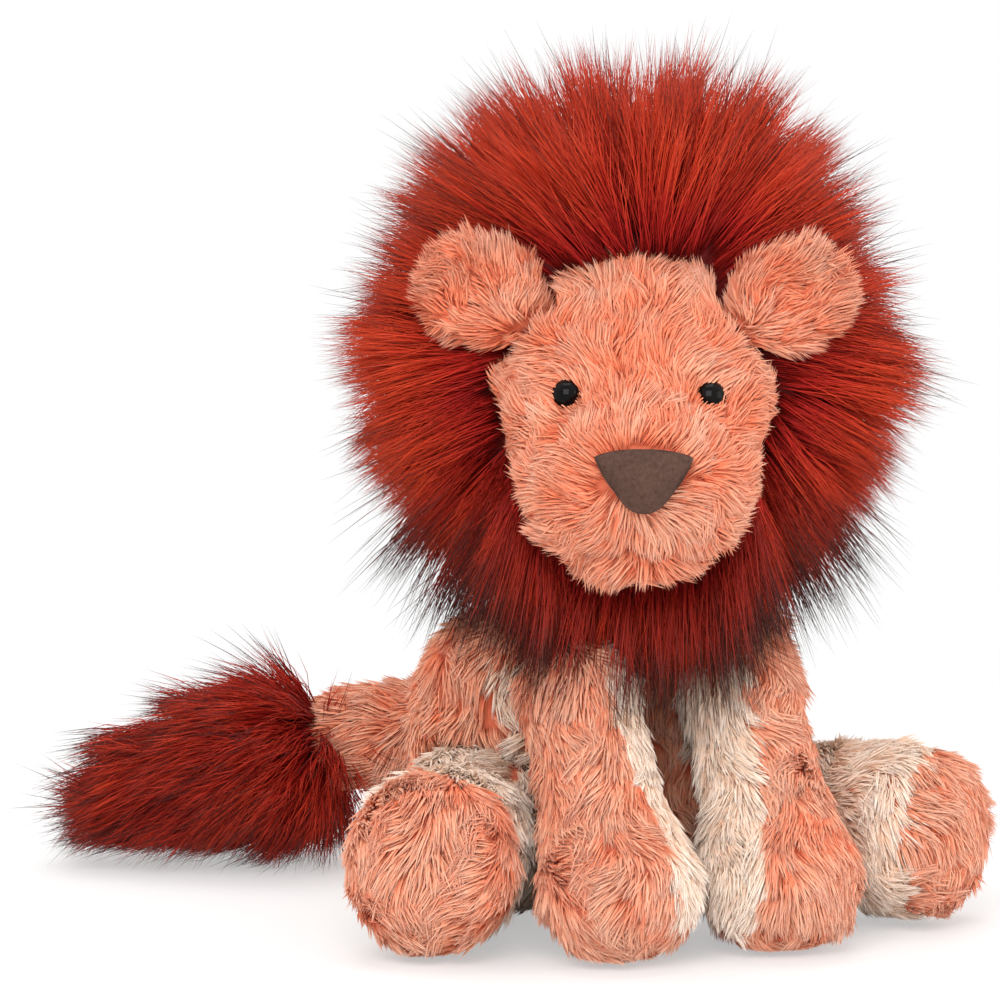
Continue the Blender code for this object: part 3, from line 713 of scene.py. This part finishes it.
def plant(name, group, rows, material, seed):
    # one tuft on each root: its z follows aim and it bends towards sway
    rng = np.random.default_rng(seed)
    place, aim, sway = rows["place"], rows["aim"], rows["sway"]
    across = unit(sway - aim * (sway * aim).sum(1, keepdims=True))
    axes = np.stack((across, np.cross(aim, across), aim), 2)
    turns = np.array([Matrix(turn.tolist()).to_quaternion()[:] for turn in axes])
    kinds = rng.integers(0, len(group.objects), len(place))
    mesh = bpy.data.meshes.new(name + "_roots")
    mesh.vertices.add(len(place))
    mesh.vertices.foreach_set("co", place.astype(np.float32).ravel())
    for label, kind, key, values in (
        ("turn", "QUATERNION", "value", turns), ("size", "FLOAT_VECTOR", "vector", rows["size"]),
        ("kind", "INT", "value", kinds), ("shade", "FLOAT", "value", rows["shade"]),
    ):
        attribute = mesh.attributes.new(label, kind, "POINT")
        attribute.data.foreach_set(key, (values if kind == "INT" else values.astype(np.float32)).ravel())
    roots = newObject(name + "_roots", mesh)
    modifier = roots.modifiers.new("Planting", "NODES")
    modifier.node_group = plantings[group.name]
    pile = evaluatedMesh(roots)
    bpy.data.objects.remove(roots)
    tones = readRows(pile.attributes["shade"].data, "value")
    corners = readRows(pile.loops, "vertex_index", np.int32)
    layer = pile.uv_layers["OFBake"]
    uv = readRows(layer.uv, "vector", width=2)
    uv[:, 0] = tones[corners] * (1 - strandShare) + uv[:, 0] * strandShare
    layer.uv.foreach_set("vector", uv.ravel())
    co = readRows(pile.vertices, "co", width=3)
    height, least = co[:, 2], pressed["height"]
    co[:, 2] = np.where(height < least, least + (height - least) * pressed["left"], height)
    pile.vertices.foreach_set("co", co.ravel())
    for label in ("shade", "turn", "size", "kind"):
        if label in pile.attributes:
            pile.attributes.remove(pile.attributes[label])
    pile.materials.clear()
    pile.materials.append(material)
    print(name, len(place), "tufts", sum(len(p.vertices) - 2 for p in pile.polygons), "triangles")
    pile.name = name
    return newObject(name, pile)


triesPerCell = 4


def rootsOn(body, cell, seed):
    # roots spread evenly over a skin, about one for each square of this size
    mesh = skins[body].data
    mesh.calc_loop_triangles()
    corners = readRows(mesh.loop_triangles, "vertices", np.int32, 3)
    co = readRows(mesh.vertices, "co", width=3)
    normal = np.array([v.normal for v in mesh.vertices])
    a, b, c = (co[corners[:, i]] for i in range(3))
    area = np.linalg.norm(np.cross(b - a, c - a), axis=1) / 2
    rng = np.random.default_rng(seed)
    count = int(area.sum() / cell ** 2 * triesPerCell)
    pick = rng.choice(len(area), count, p=area / area.sum())
    s, t = rng.random((2, count, 1))
    over = s + t > 1
    s, t = np.where(over, 1 - s, s), np.where(over, 1 - t, t)
    place = a[pick] * (1 - s - t) + b[pick] * s + c[pick] * t
    way = unit(sum(normal[corners[pick, i]] * w for i, w in enumerate((1 - s - t, s, t))))
    keys = np.floor(place / cell).astype(np.int64)
    _, first = np.unique(keys, axis=0, return_index=True)
    first.sort()
    return place[first], way[first]


def hiddenIn(places, others, depth=2.5 * mm):
    # roots that lie deeper than this inside the hull of one of the other skins
    hidden = np.zeros(len(places), bool)
    for other in others:
        bm = bmesh.new()
        bm.from_mesh(skins[other].data)
        hull = bmesh.ops.convex_hull(bm, input=bm.verts, use_existing_faces=False)
        faces = [f for f in hull["geom"] if isinstance(f, bmesh.types.BMFace)]
        normal = np.array([f.normal for f in faces])
        offset = np.array([f.normal.dot(f.verts[0].co) for f in faces])
        bm.free()
        hidden |= (places @ normal.T - offset < -depth).all(1)
    return hidden


def noiseAt(places, scale, shift):
    return np.array([noise.noise(Vector(p) * scale + Vector((shift, 0, 0))) for p in places])


def flattened(normal, along):
    return unit(along - normal * (along * normal).sum(1, keepdims=True))


def leant(normal, flat, lean):
    lean = lean.reshape(-1, 1)
    return normal * np.cos(lean) + flat * np.sin(lean)


shortTuft = {
    "fibres": 14, "radius": 0.25 * mm, "rings": (), "spread": 1.9 * mm, "gather": 0.85,
    "stray": 0.35 * mm, "uneven": 0.35, "bend": 3.5 * mm, "wave": 0.3 * mm,
}
longTuft = {
    "fibres": 7, "radius": 0.17 * mm, "rings": (0.28, 0.66), "spread": 1.3 * mm, "gather": 0.9,
    "stray": 1.7 * mm, "uneven": 0.4, "bend": 7.0 * mm, "wave": 2.2 * mm,
}
guardTuft = {
    "fibres": 3, "radius": 0.12 * mm, "rings": (0.35, 0.7), "spread": 1.5 * mm, "gather": 1.4,
    "stray": 2.5 * mm, "uneven": 0.3, "bend": 7.0 * mm, "wave": 2.0 * mm,
}
shortTufts = makeTufts("short_tufts", shortTuft, kinds=10, seed=3)
longTufts = makeTufts("long_tufts", longTuft, kinds=12, seed=5)
guardTufts = makeTufts("guard_tufts", guardTuft, kinds=8, seed=7)
plantings = {group.name: plantingTree(group) for group in (shortTufts, longTufts, guardTufts)}

plush = {
    "cell": 2.1 * mm, "length": 9.5 * mm, "lengthVaries": 0.3, "lock": 5, "gather": 0.3,
    "lean": 1.05, "leanVaries": 0.3, "swirl": 1.8, "patch": 11 * mm, "sink": 0.4, "stray": 0.15,
    "tone": 0.3, "middle": 0.55, "patches": 0.7, "finePatches": 0.5, "toneVaries": 0.14,
    "spot": 4.5 * mm, "spots": 1.6, "spotsFrom": 0.15,
    # how much finer than a patch each noise is, and its shift by the seed and beyond it
    "swirlNoise": (1, 7.3, 0), "leanNoise": (1.4, 3.1, 50),
    "toneNoise": (1.1, 1, 20), "fineNoise": (2.6, 1, 35),
}
bare = {  # the head's places without pile
    "neckFront": -8 * mm, "neckTop": -24 * mm, "noseHalfWidth": 10.5 * mm, "noseHalfHeight": 5.5 * mm,
    "noseDrop": 10 * mm,
}


def isBare(place):
    # the head has no pile under the nose, nor at the neck
    local = toHeadRows(place)
    neck = (local[:, 1] >= bare["neckFront"]) & (local[:, 2] <= bare["neckTop"])
    across = local[:, 0] / bare["noseHalfWidth"]
    height = (local[:, 2] + bare["noseDrop"]) / bare["noseHalfHeight"]
    return neck | (across ** 2 + height ** 2 <= 1)


def shortPile(body, along, others=(), creamWhere=None, seed=1, **changes):
    # the short pile of one body, coral and, where it has such a panel, cream
    sizes = {**plush, **changes}
    place, normal = rootsOn(body, sizes["cell"], seed)
    keep = ~hiddenIn(place, others)
    if body == "head":
        keep &= ~isBare(place)
    place, normal = place[keep], normal[keep]

    def wandering(label):
        finer, bySeed, shift = sizes[label]
        return noiseAt(place, 1 / sizes["patch"] * finer, seed * bySeed + shift)

    flat, swirl = flattened(normal, along(place)), (wandering("swirlNoise") * sizes["swirl"]).reshape(-1, 1)
    flat = flat * np.cos(swirl) + np.cross(normal, flat) * np.sin(swirl)
    aim = unit(leant(normal, flat, sizes["lean"] + sizes["leanVaries"] * wandering("leanNoise")))
    rng = np.random.default_rng(seed + 100)
    sway = unit(flat - normal * sizes["sink"] + rng.normal(0, sizes["stray"], place.shape))
    length = sizes["length"] * varied(rng, sizes["lengthVaries"], len(place))
    aim = gathered(place, aim, length, sizes["lock"], sizes["gather"], seed + 5)
    patches = wandering("toneNoise") + sizes["finePatches"] * wandering("fineNoise")
    spots = np.clip(noiseAt(place, 1 / sizes["spot"], seed + 47) - sizes["spotsFrom"], 0, 1)
    shade = sizes["middle"] + sizes["tone"] + sizes["patches"] * patches - sizes["spots"] * spots
    shade = np.clip(shade + rng.normal(0, sizes["toneVaries"], len(place)), 0, 1)
    rows = {"place": place, "aim": aim, "sway": sway, "size": tall(length), "shade": shade}
    cream = creamWhere(place) if creamWhere else np.zeros(len(place), bool)
    sections = {"coral": ~cream}
    if body in ("head", "torso"):  # two meshes keep each one light
        left = place[:, 0] > headFrame.translation.x
        sections = {"coral_left": ~cream & left, "coral_right": ~cream & ~left}
    for label, chosen in {**sections, "cream": cream}.items():
        if chosen.any():
            tint = label.split("_")[0]
            pile = plant(f"{body}_{label}_pile", shortTufts, picked(rows, chosen), plushPiles[tint], seed)
            settle(pile, body)


def towards(vector):
    return lambda place: np.tile(tuple(vector), (len(place), 1))


def awayFrom(point):
    return lambda place: unit(place - np.array(point))


print("pile tools")

mane = {  # the backing's rings: distance behind the head's centre, half width, half height and rise
    "rings": ((-3, 39, 43, 0), (3, 48, 51, 3), (13, 55, 57, 6), (27, 55, 57, 8), (39, 45, 47, 9),
              (47, 27, 28, 8)),
    "centre": (0, 0, 16), "cell": 1.85 * mm,
}


def ringLoft(rings, matrix, sides=40):
    bm = bmesh.new()
    before = None
    for y, halfWidth, halfHeight, rise in rings:
        size = Matrix.Translation(Vector((0, y, rise)) * mm) @ Matrix.Rotation(math.pi / 2, 4, "X")
        size = size @ Matrix.Diagonal((halfWidth * mm, halfHeight * mm, 1, 1))
        made = bmesh.ops.create_circle(bm, segments=sides, radius=1, matrix=matrix @ size)
        edges = list(dict.fromkeys(link for vert in made["verts"] for link in vert.link_edges))
        if before:
            bmesh.ops.bridge_loops(bm, edges=before + edges)
        else:
            bmesh.ops.edgeloop_fill(bm, edges=edges)
        before = edges
    bmesh.ops.edgeloop_fill(bm, edges=before)
    bmesh.ops.recalc_face_normals(bm, faces=bm.faces)
    return bm


skins["mane"] = fromBmesh("mane_backing", ringLoft(mane["rings"], headFrame), redBacking)
finishSkin(skins["mane"])
settle(skins["mane"], "head", ("mane",))

innerPanel = {  # the cream of a front leg: its edge from the lion's middle by height, its bottom and its top
    "heights": (0.01, 0.04, 0.075), "edges": (0.012, 0.0165, 0.022),
    "bottom": {"left": 11 * mm, "right": 17 * mm}, "top": 80 * mm,
}


def creamFront(side):
    def inside(place):
        across, height = place[:, 0] * sides[side], place[:, 2]
        edge = np.interp(height, innerPanel["heights"], innerPanel["edges"])
        return (across < edge) & (height > innerPanel["bottom"][side]) & (height < innerPanel["top"])
    return inside


def creamHind(leg):
    return lambda place: (place - np.array(leg["seamPoint"])) @ np.array(leg["seamNormal"]) < 0


# cream only beside the middle; the coral strip between the front legs is painted shade
def bellyPanel(place):
    across = np.abs(place[:, 0])
    beside = (across < belly["seam"]) & (across > belly["cream"])
    return beside & (place[:, 1] < belly["creamFront"]) & (place[:, 2] < belly["creamTop"])


pileFlow = {  # added to the way along each limb
    "front": Vector((0, 0, -0.4)), "hind": Vector((0, 0, -0.7)),
    "torso": (0.0, 0.0, -1.0), "tail": (-1, 0.3, -0.3),
}
nosePoint = headFrame @ (Vector((0, -63, -14)) * mm)
for side, sign in sides.items():
    mirrored = Vector((sign, 1, 1))
    alongLeg = ((paw - shoulder) * mirrored).normalized()
    shortPile("front_leg_" + side, towards(alongLeg + pileFlow["front"]), ("torso", "hind_leg_" + side),
              creamFront(side), seed=11 + sign)
    shortPile("hind_leg_" + side, towards(hindLegs[side]["reach"] + pileFlow["hind"]), ("torso",),
              creamHind(hindLegs[side]), seed=21 + sign, cell=2.3 * mm)
    # the ears' lower tone darkens the same coral cloth as on the legs: painted shade
    shortPile("ear_" + side, awayFrom(earFoot(sign)), seed=31 + sign, cell=1.6 * mm, length=8.5 * mm,
              lean=0.95, tone=-0.18)
allLegs = [f"{kind}_leg_{side}" for kind in ("front", "hind") for side in sides]
shortPile("torso", towards(pileFlow["torso"]), allLegs, bellyPanel, seed=41, cell=3.2 * mm)
# the head's lower tone darkens the same coral cloth as on the body: painted shade
shortPile("head", awayFrom(nosePoint), ("mane",), seed=51, cell=1.85 * mm, length=10 * mm, tone=-0.12)
shortPile("tail", towards(pileFlow["tail"]), ("torso",), seed=61, cell=2.4 * mm)
print("short pile")

mane.update({
    "jaw": {"top": -14 * mm, "front": -30 * mm, "back": 4 * mm},
    "thinned": {"behind": 20 * mm, "share": 0.55},  # the back is seen less
    "depthStart": 3 * mm, "depth": 50 * mm,  # depths are shares of this, from the front edge
    "tilt": ((0, 0.15, 0.4, 0.75, 1), (-0.25, -0.08, 0.12, 0.7, 1.2)),  # backwards, by depth
    "tiltVaries": 0.09, "tiltPatches": 0.3, "patch": 12 * mm, "turns": 0.5, "turnPatch": 14 * mm,
    "ears": {"angle": 22, "spread": 24, "tilt": 0.55, "depth": 0.5},
    "low": {"ahead": (0, -0.25, 0), "depth": 0.4}, "stray": 0.06,
    "under": {
        "front": -4 * mm, "out": 0.6, "aim": (0, -0.15, -0.9), "stray": 0.12, "length": 34, "varies": 10,
    },
    "reach": ((0, 0.2, 0.5, 1), (79, 82, 84, 82)),  # of the tips from the centre, by depth, in mm
    "lengths": (24 * mm, 52 * mm), "lengthPatches": 0.2, "lengthVaries": 6, "backLength": 32 * mm,
    "sway": {"out": 0.4, "fall": (0, 0.5, -0.7), "stray": 0.35},
    "lock": 20, "gather": 0.6, "shortened": 0.55,
    # beside lightens the mane's left and right sides: painted light
    "tone": {
        "middle": 0.4, "beside": 0.14, "patches": 0.6, "outwards": 0.15, "width": 60 * mm, "varies": 0.18,
    },
    "backFrom": 0.6,
})
guard = {  # the dark hair: how much of it, and how far it stands out and hangs under the jaw
    "share": 0.16, "longer": 6, "fringeShare": 0.7, "fringeLonger": 10, "varies": 12, "stray": 0.1,
    "fringe": (-145, -35), "depth": 0.5, "ahead": (0, -0.4, 0), "sway": 0.4, "fall": (0, 0, -1),
}


def jawStrip():
    # a strip of the long pile runs under the jaw from cheek to cheek
    place, _ = rootsOn("head", mane["cell"], seed=74)
    local, strip = toHeadRows(place), mane["jaw"]
    behind, height = local[:, 1], local[:, 2]
    return place[(height < strip["top"]) & (behind > strip["front"]) & (behind < strip["back"])]


def maneRoots(rng):
    place, _ = rootsOn("mane", mane["cell"], seed=71)
    behind = toHeadRows(place)[:, 1] > mane["thinned"]["behind"]
    place = place[~(behind & (rng.random(len(place)) < mane["thinned"]["share"]))]
    place = np.concatenate((place, jawStrip()))
    local = toHeadRows(place)
    keep = ~hiddenIn(place, ("head",)) & ~hiddenIn(place, ("ear_left", "ear_right"), 0)
    return place[keep], local[keep]


def maneAim(rng, place, out, depth, angle, under):
    # outwards, further back with the depth, in patches, and laid back behind the ears
    tilt = np.interp(depth, *mane["tilt"]) + rng.normal(0, mane["tiltVaries"], len(depth))
    tilt = tilt + mane["tiltPatches"] * noiseAt(place, 1 / mane["patch"], 31.0)
    ear, low, hang = mane["ears"], mane["low"], mane["under"]
    fromEar = np.minimum(np.abs(angle - ear["angle"]), np.abs(180 - angle - ear["angle"]))
    tilt = tilt + ear["tilt"] * np.exp(-(fromEar / ear["spread"]) ** 2) * (depth < ear["depth"])
    turned = mane["turns"] * noiseAt(place, 1 / mane["turnPatch"], 57.0)[:, None]
    out = out * np.cos(turned) + np.stack((out[:, 2], out[:, 1], -out[:, 0]), 1) * np.sin(turned)
    aim = out * np.cos(tilt)[:, None] + np.array((0.0, 1.0, 0.0)) * np.sin(tilt)[:, None]
    lowness = np.clip(-out[:, 2], 0, 1) * (depth < low["depth"])
    aim = unit(aim + low["ahead"] * lowness[:, None] + rng.normal(0, mane["stray"], aim.shape))
    hanging = out * hang["out"] + hang["aim"] + rng.normal(0, hang["stray"], aim.shape)
    return np.where(under[:, None], unit(hanging), aim), out


def maneLengths(rng, away, depth, lumps, under):
    reach = np.interp(depth, *mane["reach"]) * mm
    length = (reach - away) * (1 + mane["lengthPatches"] * lumps)
    length = np.clip(length + mane["lengthVaries"] * mm * rng.random(len(away)), *mane["lengths"])
    length = np.where(depth > 0.5, np.minimum(length, mane["backLength"]), length)
    hang = mane["under"]
    return np.where(under, hang["length"] * mm + hang["varies"] * mm * rng.random(len(away)), length)


def maneHair():
    rng = np.random.default_rng(71)
    place, local = maneRoots(rng)
    turn = np.array(headFrame.to_3x3())
    out = local - np.array(mane["centre"]) * mm
    out[:, 1] = 0
    away = np.linalg.norm(out, axis=1)
    out = unit(out)
    depth = np.clip((local[:, 1] + mane["depthStart"]) / mane["depth"], 0, 1)
    angle = np.degrees(np.arctan2(out[:, 2], out[:, 0]))
    under = local[:, 1] < mane["under"]["front"]
    aim, out = maneAim(rng, place, out, depth, angle, under)
    lumps = noiseAt(place, 1 / mane["patch"], 5.0)
    length = maneLengths(rng, away, depth, lumps, under)
    swaying, tone = mane["sway"], mane["tone"]
    sway = out * swaying["out"] + swaying["fall"] + rng.normal(0, swaying["stray"], aim.shape)
    aim = gathered(place, aim, length, mane["lock"], mane["gather"], seed=75)
    tips = place + (aim @ turn.T) * length[:, None]
    length = np.where(hiddenIn(tips, ("torso",), 1 * mm), length * mane["shortened"], length)
    # the lift beside the face is painted light
    shade = tone["middle"] + tone["beside"] * np.abs(np.cos(np.radians(angle))) + tone["patches"] * lumps
    shade = shade + tone["outwards"] * (away / tone["width"]) + rng.normal(0, tone["varies"], len(away))
    rows = {
        "place": place, "aim": aim @ turn.T, "sway": sway @ turn.T, "shade": np.clip(shade, 0, 1),
        "size": tall(length),
    }
    front = depth <= mane["backFrom"]
    sectors = {
        "mane_crown_pile": (angle > 45) & (angle <= 135) & front,
        "mane_left_pile": (angle > -45) & (angle <= 45) & front,
        "mane_fringe_pile": (angle > -135) & (angle <= -45) & front,
        "mane_right_pile": ((angle > 135) | (angle <= -135)) & front,
        "mane_back_pile": ~front,
    }
    for name, chosen in sectors.items():
        pile = plant(name, longTufts, picked(rows, chosen), redPile, seed=72)
        settle(pile, "head", ("mane",))
    fringe = (angle < guard["fringe"][1]) & (angle > guard["fringe"][0]) & (depth < guard["depth"])
    some = rng.random(len(place)) < np.where(fringe, guard["fringeShare"], guard["share"])
    rows, fringe = picked(rows, some), fringe[some]
    longer = guard["fringeLonger"] + guard["varies"] * rng.random(some.sum())
    rows["size"][:, 2] += np.where(fringe, longer, guard["longer"]) * mm
    ahead = turn @ guard["ahead"]  # the fringe hangs in front of the chest
    stray = rng.normal(0, guard["stray"], rows["aim"].shape)
    rows["aim"] = unit(rows["aim"] + stray + ahead * fringe[:, None])
    rows["sway"] = np.where(fringe[:, None], rows["sway"] * guard["sway"] + guard["fall"], rows["sway"])
    settle(plant("mane_guard_hair", guardTufts, rows, guardHair, seed=73), "head")


maneHair()

tuft = {
    "rings": ((0, 13.5, 13.5, 0), (12, 15, 15, 0), (27, 14.6, 14.6, 0), (42, 12, 12, 0), (53, 8, 8, 0),
              (59, 3, 3, 0)),
    "start": (-56, 70, 34.5), "end": (-114, 91, 21), "sides": 24, "cell": 1.7 * mm, "along": 59 * mm,
    "fall": (0, 0, -0.25), "outBelow": (0.75, -0.3, -0.5),
    "lean": ((0, 0.12, 0.6, 1), (1.3, 1.1, 0.95, 1.05)),  # by the distance along
    "leanVaries": 0.16, "leanPatches": 0.4, "patch": 11 * mm, "stray": 0.08,
    "length": 27, "lengthVaries": 6, "lock": 20, "gather": 0.6, "lowest": 3 * mm, "lifted": 2 * mm,
    "sway": (0, 0, -0.3), "swayStray": 0.25, "lowSway": 22 * mm,
    # the low tone and the large share of dark guard hair darken the same red pile as the mane: painted shade
    "tone": 0.05, "tonePatches": 0.45, "tonePatch": 12 * mm, "toneVaries": 0.15,
    "guardShare": 0.55, "guardLonger": 5 * mm,
}
tuftStart, tuftEnd = (Vector(tuft[key]) * mm for key in ("start", "end"))
tuftTurn = (tuftEnd - tuftStart).to_track_quat("Y", "Z").to_matrix().to_4x4()
tuftForm = ringLoft(tuft["rings"], Matrix.Translation(tuftStart) @ tuftTurn, tuft["sides"])
skins["tuft"] = fromBmesh("tuft_backing", tuftForm, redBacking)
finishSkin(skins["tuft"])
settle(skins["tuft"], "tail", ("tail_tuft",))


def tuftHair():
    # it lies along the tail, and its lowest hair is lifted to the floor
    rng = np.random.default_rng(81)
    place, normal = rootsOn("tuft", tuft["cell"], seed=81)
    axis = (tuftEnd - tuftStart).normalized()
    along = np.clip(((place - np.array(tuftStart)) @ np.array(axis)) / tuft["along"], 0, 1)
    below = np.clip(-normal[:, 2], 0, 1)[:, None]
    flow = np.array(axis) + tuft["fall"] + below * tuft["outBelow"] * (1 - along[:, None])
    lean = np.interp(along, *tuft["lean"]) + rng.normal(0, tuft["leanVaries"], len(place))
    lean += tuft["leanPatches"] * noiseAt(place, 1 / tuft["patch"], 17.0)
    flat = flattened(normal, flow)
    aim = leant(normal, flat, lean)
    aim = unit(aim + rng.normal(0, tuft["stray"], aim.shape))
    length = (tuft["length"] + along) * mm + tuft["lengthVaries"] * mm * rng.random(len(place))
    aim = gathered(place, aim, length, tuft["lock"], tuft["gather"], seed=84)
    low = place[:, 2] + aim[:, 2] * length < tuft["lowest"]
    aim[low, 2] = (tuft["lifted"] - place[low, 2]) / length[low]
    sway = flat + tuft["sway"] + rng.normal(0, tuft["swayStray"], aim.shape)
    sway[:, 2] = np.where(place[:, 2] < tuft["lowSway"], np.abs(sway[:, 2]), sway[:, 2])
    # the low tone is painted shade
    shade = tuft["tone"] + tuft["tonePatches"] * noiseAt(place, 1 / tuft["tonePatch"], 9.0)
    shade = shade + rng.normal(0, tuft["toneVaries"], len(place))
    rows = {
        "place": place, "aim": unit(aim), "sway": sway, "shade": np.clip(shade, 0, 1),
        "size": tall(length),
    }
    pile = plant("tuft_pile", longTufts, rows, redPile, seed=82)
    settle(pile, "tail", ("tail_tuft",))
    # dark-tipped guard hair is real, its large share here is partly painted shade
    rows = picked(rows, rng.random(len(place)) < tuft["guardShare"])
    rows["size"][:, 2] += tuft["guardLonger"]
    settle(plant("tuft_guard_hair", guardTufts, rows, guardHair, seed=83), "tail")


tuftHair()
print("mane and tuft")


def mouldedPlastic(name, settings, scale, stops, rough):
    # slow patches vary the tone and the gloss a little, as on a moulding
    made, tree, shader = newMaterial(name, settings)
    place = addNode(tree, "ShaderNodeTexCoord").outputs["Object"]
    patches = addNode(tree, "ShaderNodeTexNoise", {"Scale": scale, "Detail": 2.0}, {"Vector": place})
    tree.links.new(toneRamp(tree, patches.outputs["Fac"], stops), shader.inputs["Base Color"])
    roughen(tree, shader, patches.outputs["Fac"], *rough)
    return made


# injection-moulded black acrylic: a hard, even gloss
blackAcrylic = mouldedPlastic("black_moulded_acrylic", {"IOR": 1.49, "Specular IOR Level": 0.12}, 400.0,
                              ((0.3, "#070606"), (0.7, "#120E0D")), (0.05, 0.1))
eyes = {
    "left": {"centre": (7.855, -76.106, 154.908), "out": (-0.0239, -0.9177, 0.3966)},
    "right": {"centre": (-32.858, -63.746, 155.656), "out": (-0.4665, -0.7842, 0.4091)},
    "sunk": 2.6, "steps": 48,
    "profile": ((0, 0.0), (1.4, -0.2), (2.7, -0.85), (3.7, -1.85), (4.35, -3.0), (4.5, -3.5), (4.3, -3.9),
                (2.0, -4.0), (2.0, -15.4), (0, -15.4)),
}
for side in sides:
    spot = eyes[side]
    out = Vector(spot["out"]).normalized()
    centre = Matrix.Translation((Vector(spot["centre"]) - out * eyes["sunk"]) * mm)
    turn = centre @ out.to_track_quat("Z", "Y").to_matrix().to_4x4()
    bm = bmesh.new()
    line = [bm.verts.new(turn @ (Vector((radius, 0, height)) * mm)) for radius, height in eyes["profile"]]
    edges = [bm.edges.new(pair) for pair in zip(line, line[1:])]
    bmesh.ops.spin(bm, geom=line + edges, cent=turn.translation, axis=out, angle=math.tau,
                   steps=eyes["steps"], use_merge=True)
    bmesh.ops.remove_doubles(bm, verts=bm.verts, dist=weld)
    bmesh.ops.recalc_face_normals(bm, faces=bm.faces)
    settle(fromBmesh(f"safety_eye_{side}", bm, blackAcrylic), "head", ("eye_" + side,))
print("eyes")

nose = {  # in mm where it has no unit
    "width": 27, "height": 16.5, "drop": 12 * mm, "stands": 5.6, "puffs": (0.35, 1.0, 1.35, 1.5, 1.58, 1.6),
    "insets": 7, "firstInset": 0.5, "insetGrows": 0.12, "smoothings": 3, "cloth": 1.6 * mm,
    "lookFrom": -0.2, "noHit": -0.06,
    "corners": (  # each with its handles before and after it, as shares of the width and height
        ((-0.50, 0.38), (-0.47, 0.26), (-0.40, 0.47)), ((0.0, 0.52), (-0.18, 0.53), (0.18, 0.53)),
        ((0.50, 0.38), (0.40, 0.47), (0.47, 0.26)), ((0.32, -0.10), (0.40, 0.05), (0.24, -0.26)),
        ((0.0, -0.50), (0.17, -0.50), (-0.17, -0.50)), ((-0.32, -0.10), (-0.24, -0.26), (-0.40, 0.05)),
    ),
}


def twill():
    # brushed cotton twill: a fine diagonal rib with slubs, dull
    made, tree, shader = newMaterial("brown_cotton_twill", {"Specular IOR Level": 0.2})
    place = addNode(tree, "ShaderNodeTexCoord").outputs["Object"]
    turned = addNode(tree, "ShaderNodeMapping", {"Rotation": (0, 0, math.radians(16))}, {"Vector": place})
    # ribs 0.45 mm apart, where the wave runs 10 / pi times in each unit of its scale
    rib = addNode(tree, "ShaderNodeMapping", {"Rotation": (0, math.radians(45), 0)},
                  {"Vector": turned.outputs[0]})
    waves = addNode(tree, "ShaderNodeTexWave",
                    {"Scale": 700.0, "Distortion": 1.0, "Detail": 2.0, "Detail Scale": 3.0},
                    {"Vector": rib.outputs[0]})
    slubs = addNode(tree, "ShaderNodeTexNoise", {"Scale": 900.0, "Detail": 3.0}, {"Vector": place})
    both = addNode(tree, "ShaderNodeMath", {"operation": "MULTIPLY_ADD", 1: 0.6},
                   {0: waves.outputs["Fac"], 2: slubs.outputs["Fac"]})
    tones = toneRamp(tree, both.outputs[0], ((0.3, "#38251E"), (0.75, "#4F372F"), (1.0, "#644A40")))
    tree.links.new(tones, shader.inputs["Base Color"])
    emboss(tree, shader, both.outputs[0], 0.6, 0.15 * mm)
    roughen(tree, shader, slubs.outputs["Fac"], 0.8, 0.95)
    return made


def noseOutline():
    curve = bpy.data.curves.new("nose_outline", "CURVE")
    curve.dimensions = "2D"
    curve.resolution_u = 12
    spline = curve.splines.new("BEZIER")
    spline.bezier_points.add(len(nose["corners"]) - 1)
    spline.use_cyclic_u = True
    for point, corner in zip(spline.bezier_points, nose["corners"]):
        for key, (across, height) in zip(("co", "handle_left", "handle_right"), corner):
            setattr(point, key, (across * nose["width"] * mm, height * nose["height"] * mm, 0))
    outline = newObject("nose_outline", curve)
    mesh = evaluatedMesh(outline)
    bpy.data.objects.remove(outline)
    return mesh


def addNose():
    # the flat patch is laid on the head's cover and puffed up from its rim
    cover = bmesh.new()
    cover.from_mesh(nodes["head_cover"].data)
    front = BVHTree.FromBMesh(cover)
    cover.free()
    bm = bmesh.new()
    bm.from_mesh(noseOutline())
    bmesh.ops.remove_doubles(bm, verts=bm.verts, dist=weld)
    rim = list(bm.edges)
    bmesh.ops.edgeloop_fill(bm, edges=rim)
    face = bm.faces[:]
    for step in range(nose["insets"]):
        inset = (nose["firstInset"] + step * nose["insetGrows"]) * mm
        bmesh.ops.inset_region(bm, faces=face, thickness=inset, use_even_offset=True)
    levels = {}
    frontier, depth = {v for e in rim for v in e.verts}, 0
    while frontier:
        levels.update(dict.fromkeys(frontier, depth))
        frontier = {e.other_vert(v) for v in frontier for e in v.link_edges} - set(levels)
        depth += 1
    turn = headFrame.to_3x3()
    for vert, level in levels.items():
        across, height = vert.co.x, vert.co.y - nose["drop"]
        start = headFrame @ Vector((across, nose["lookFrom"], height))
        hit = front.ray_cast(start, turn @ Vector((0, 1, 0)))[0]
        puff = nose["puffs"][min(level, len(nose["puffs"]) - 1)] + nose["stands"]
        surface = hit if hit else headFrame @ Vector((across, nose["noHit"], height))
        vert.co = surface + turn @ Vector((0, -puff * mm, 0))
    inner = [vert for vert in bm.verts if not vert.is_boundary]
    for _ in range(nose["smoothings"]):
        smooth(bm, inner)
    bmesh.ops.solidify(bm, geom=bm.faces[:], thickness=nose["cloth"])
    bmesh.ops.recalc_face_normals(bm, faces=bm.faces)
    settle(fromBmesh("nose_twill", bm, twill()), "head", ("nose_patch",))


addNose()
print("nose")

# translucent moulded polyethylene: milky and slightly waxy
washerPlastic = mouldedPlastic("milky_polyethylene", {"IOR": 1.5}, 300.0,
                               ((0.3, "#D6D4CF"), (0.7, "#E4E2DE")), (0.35, 0.5))
for side in sides:
    washer = nodes["eye_washer_" + side]
    for slot in washer.material_slots:
        slot.material = washerPlastic
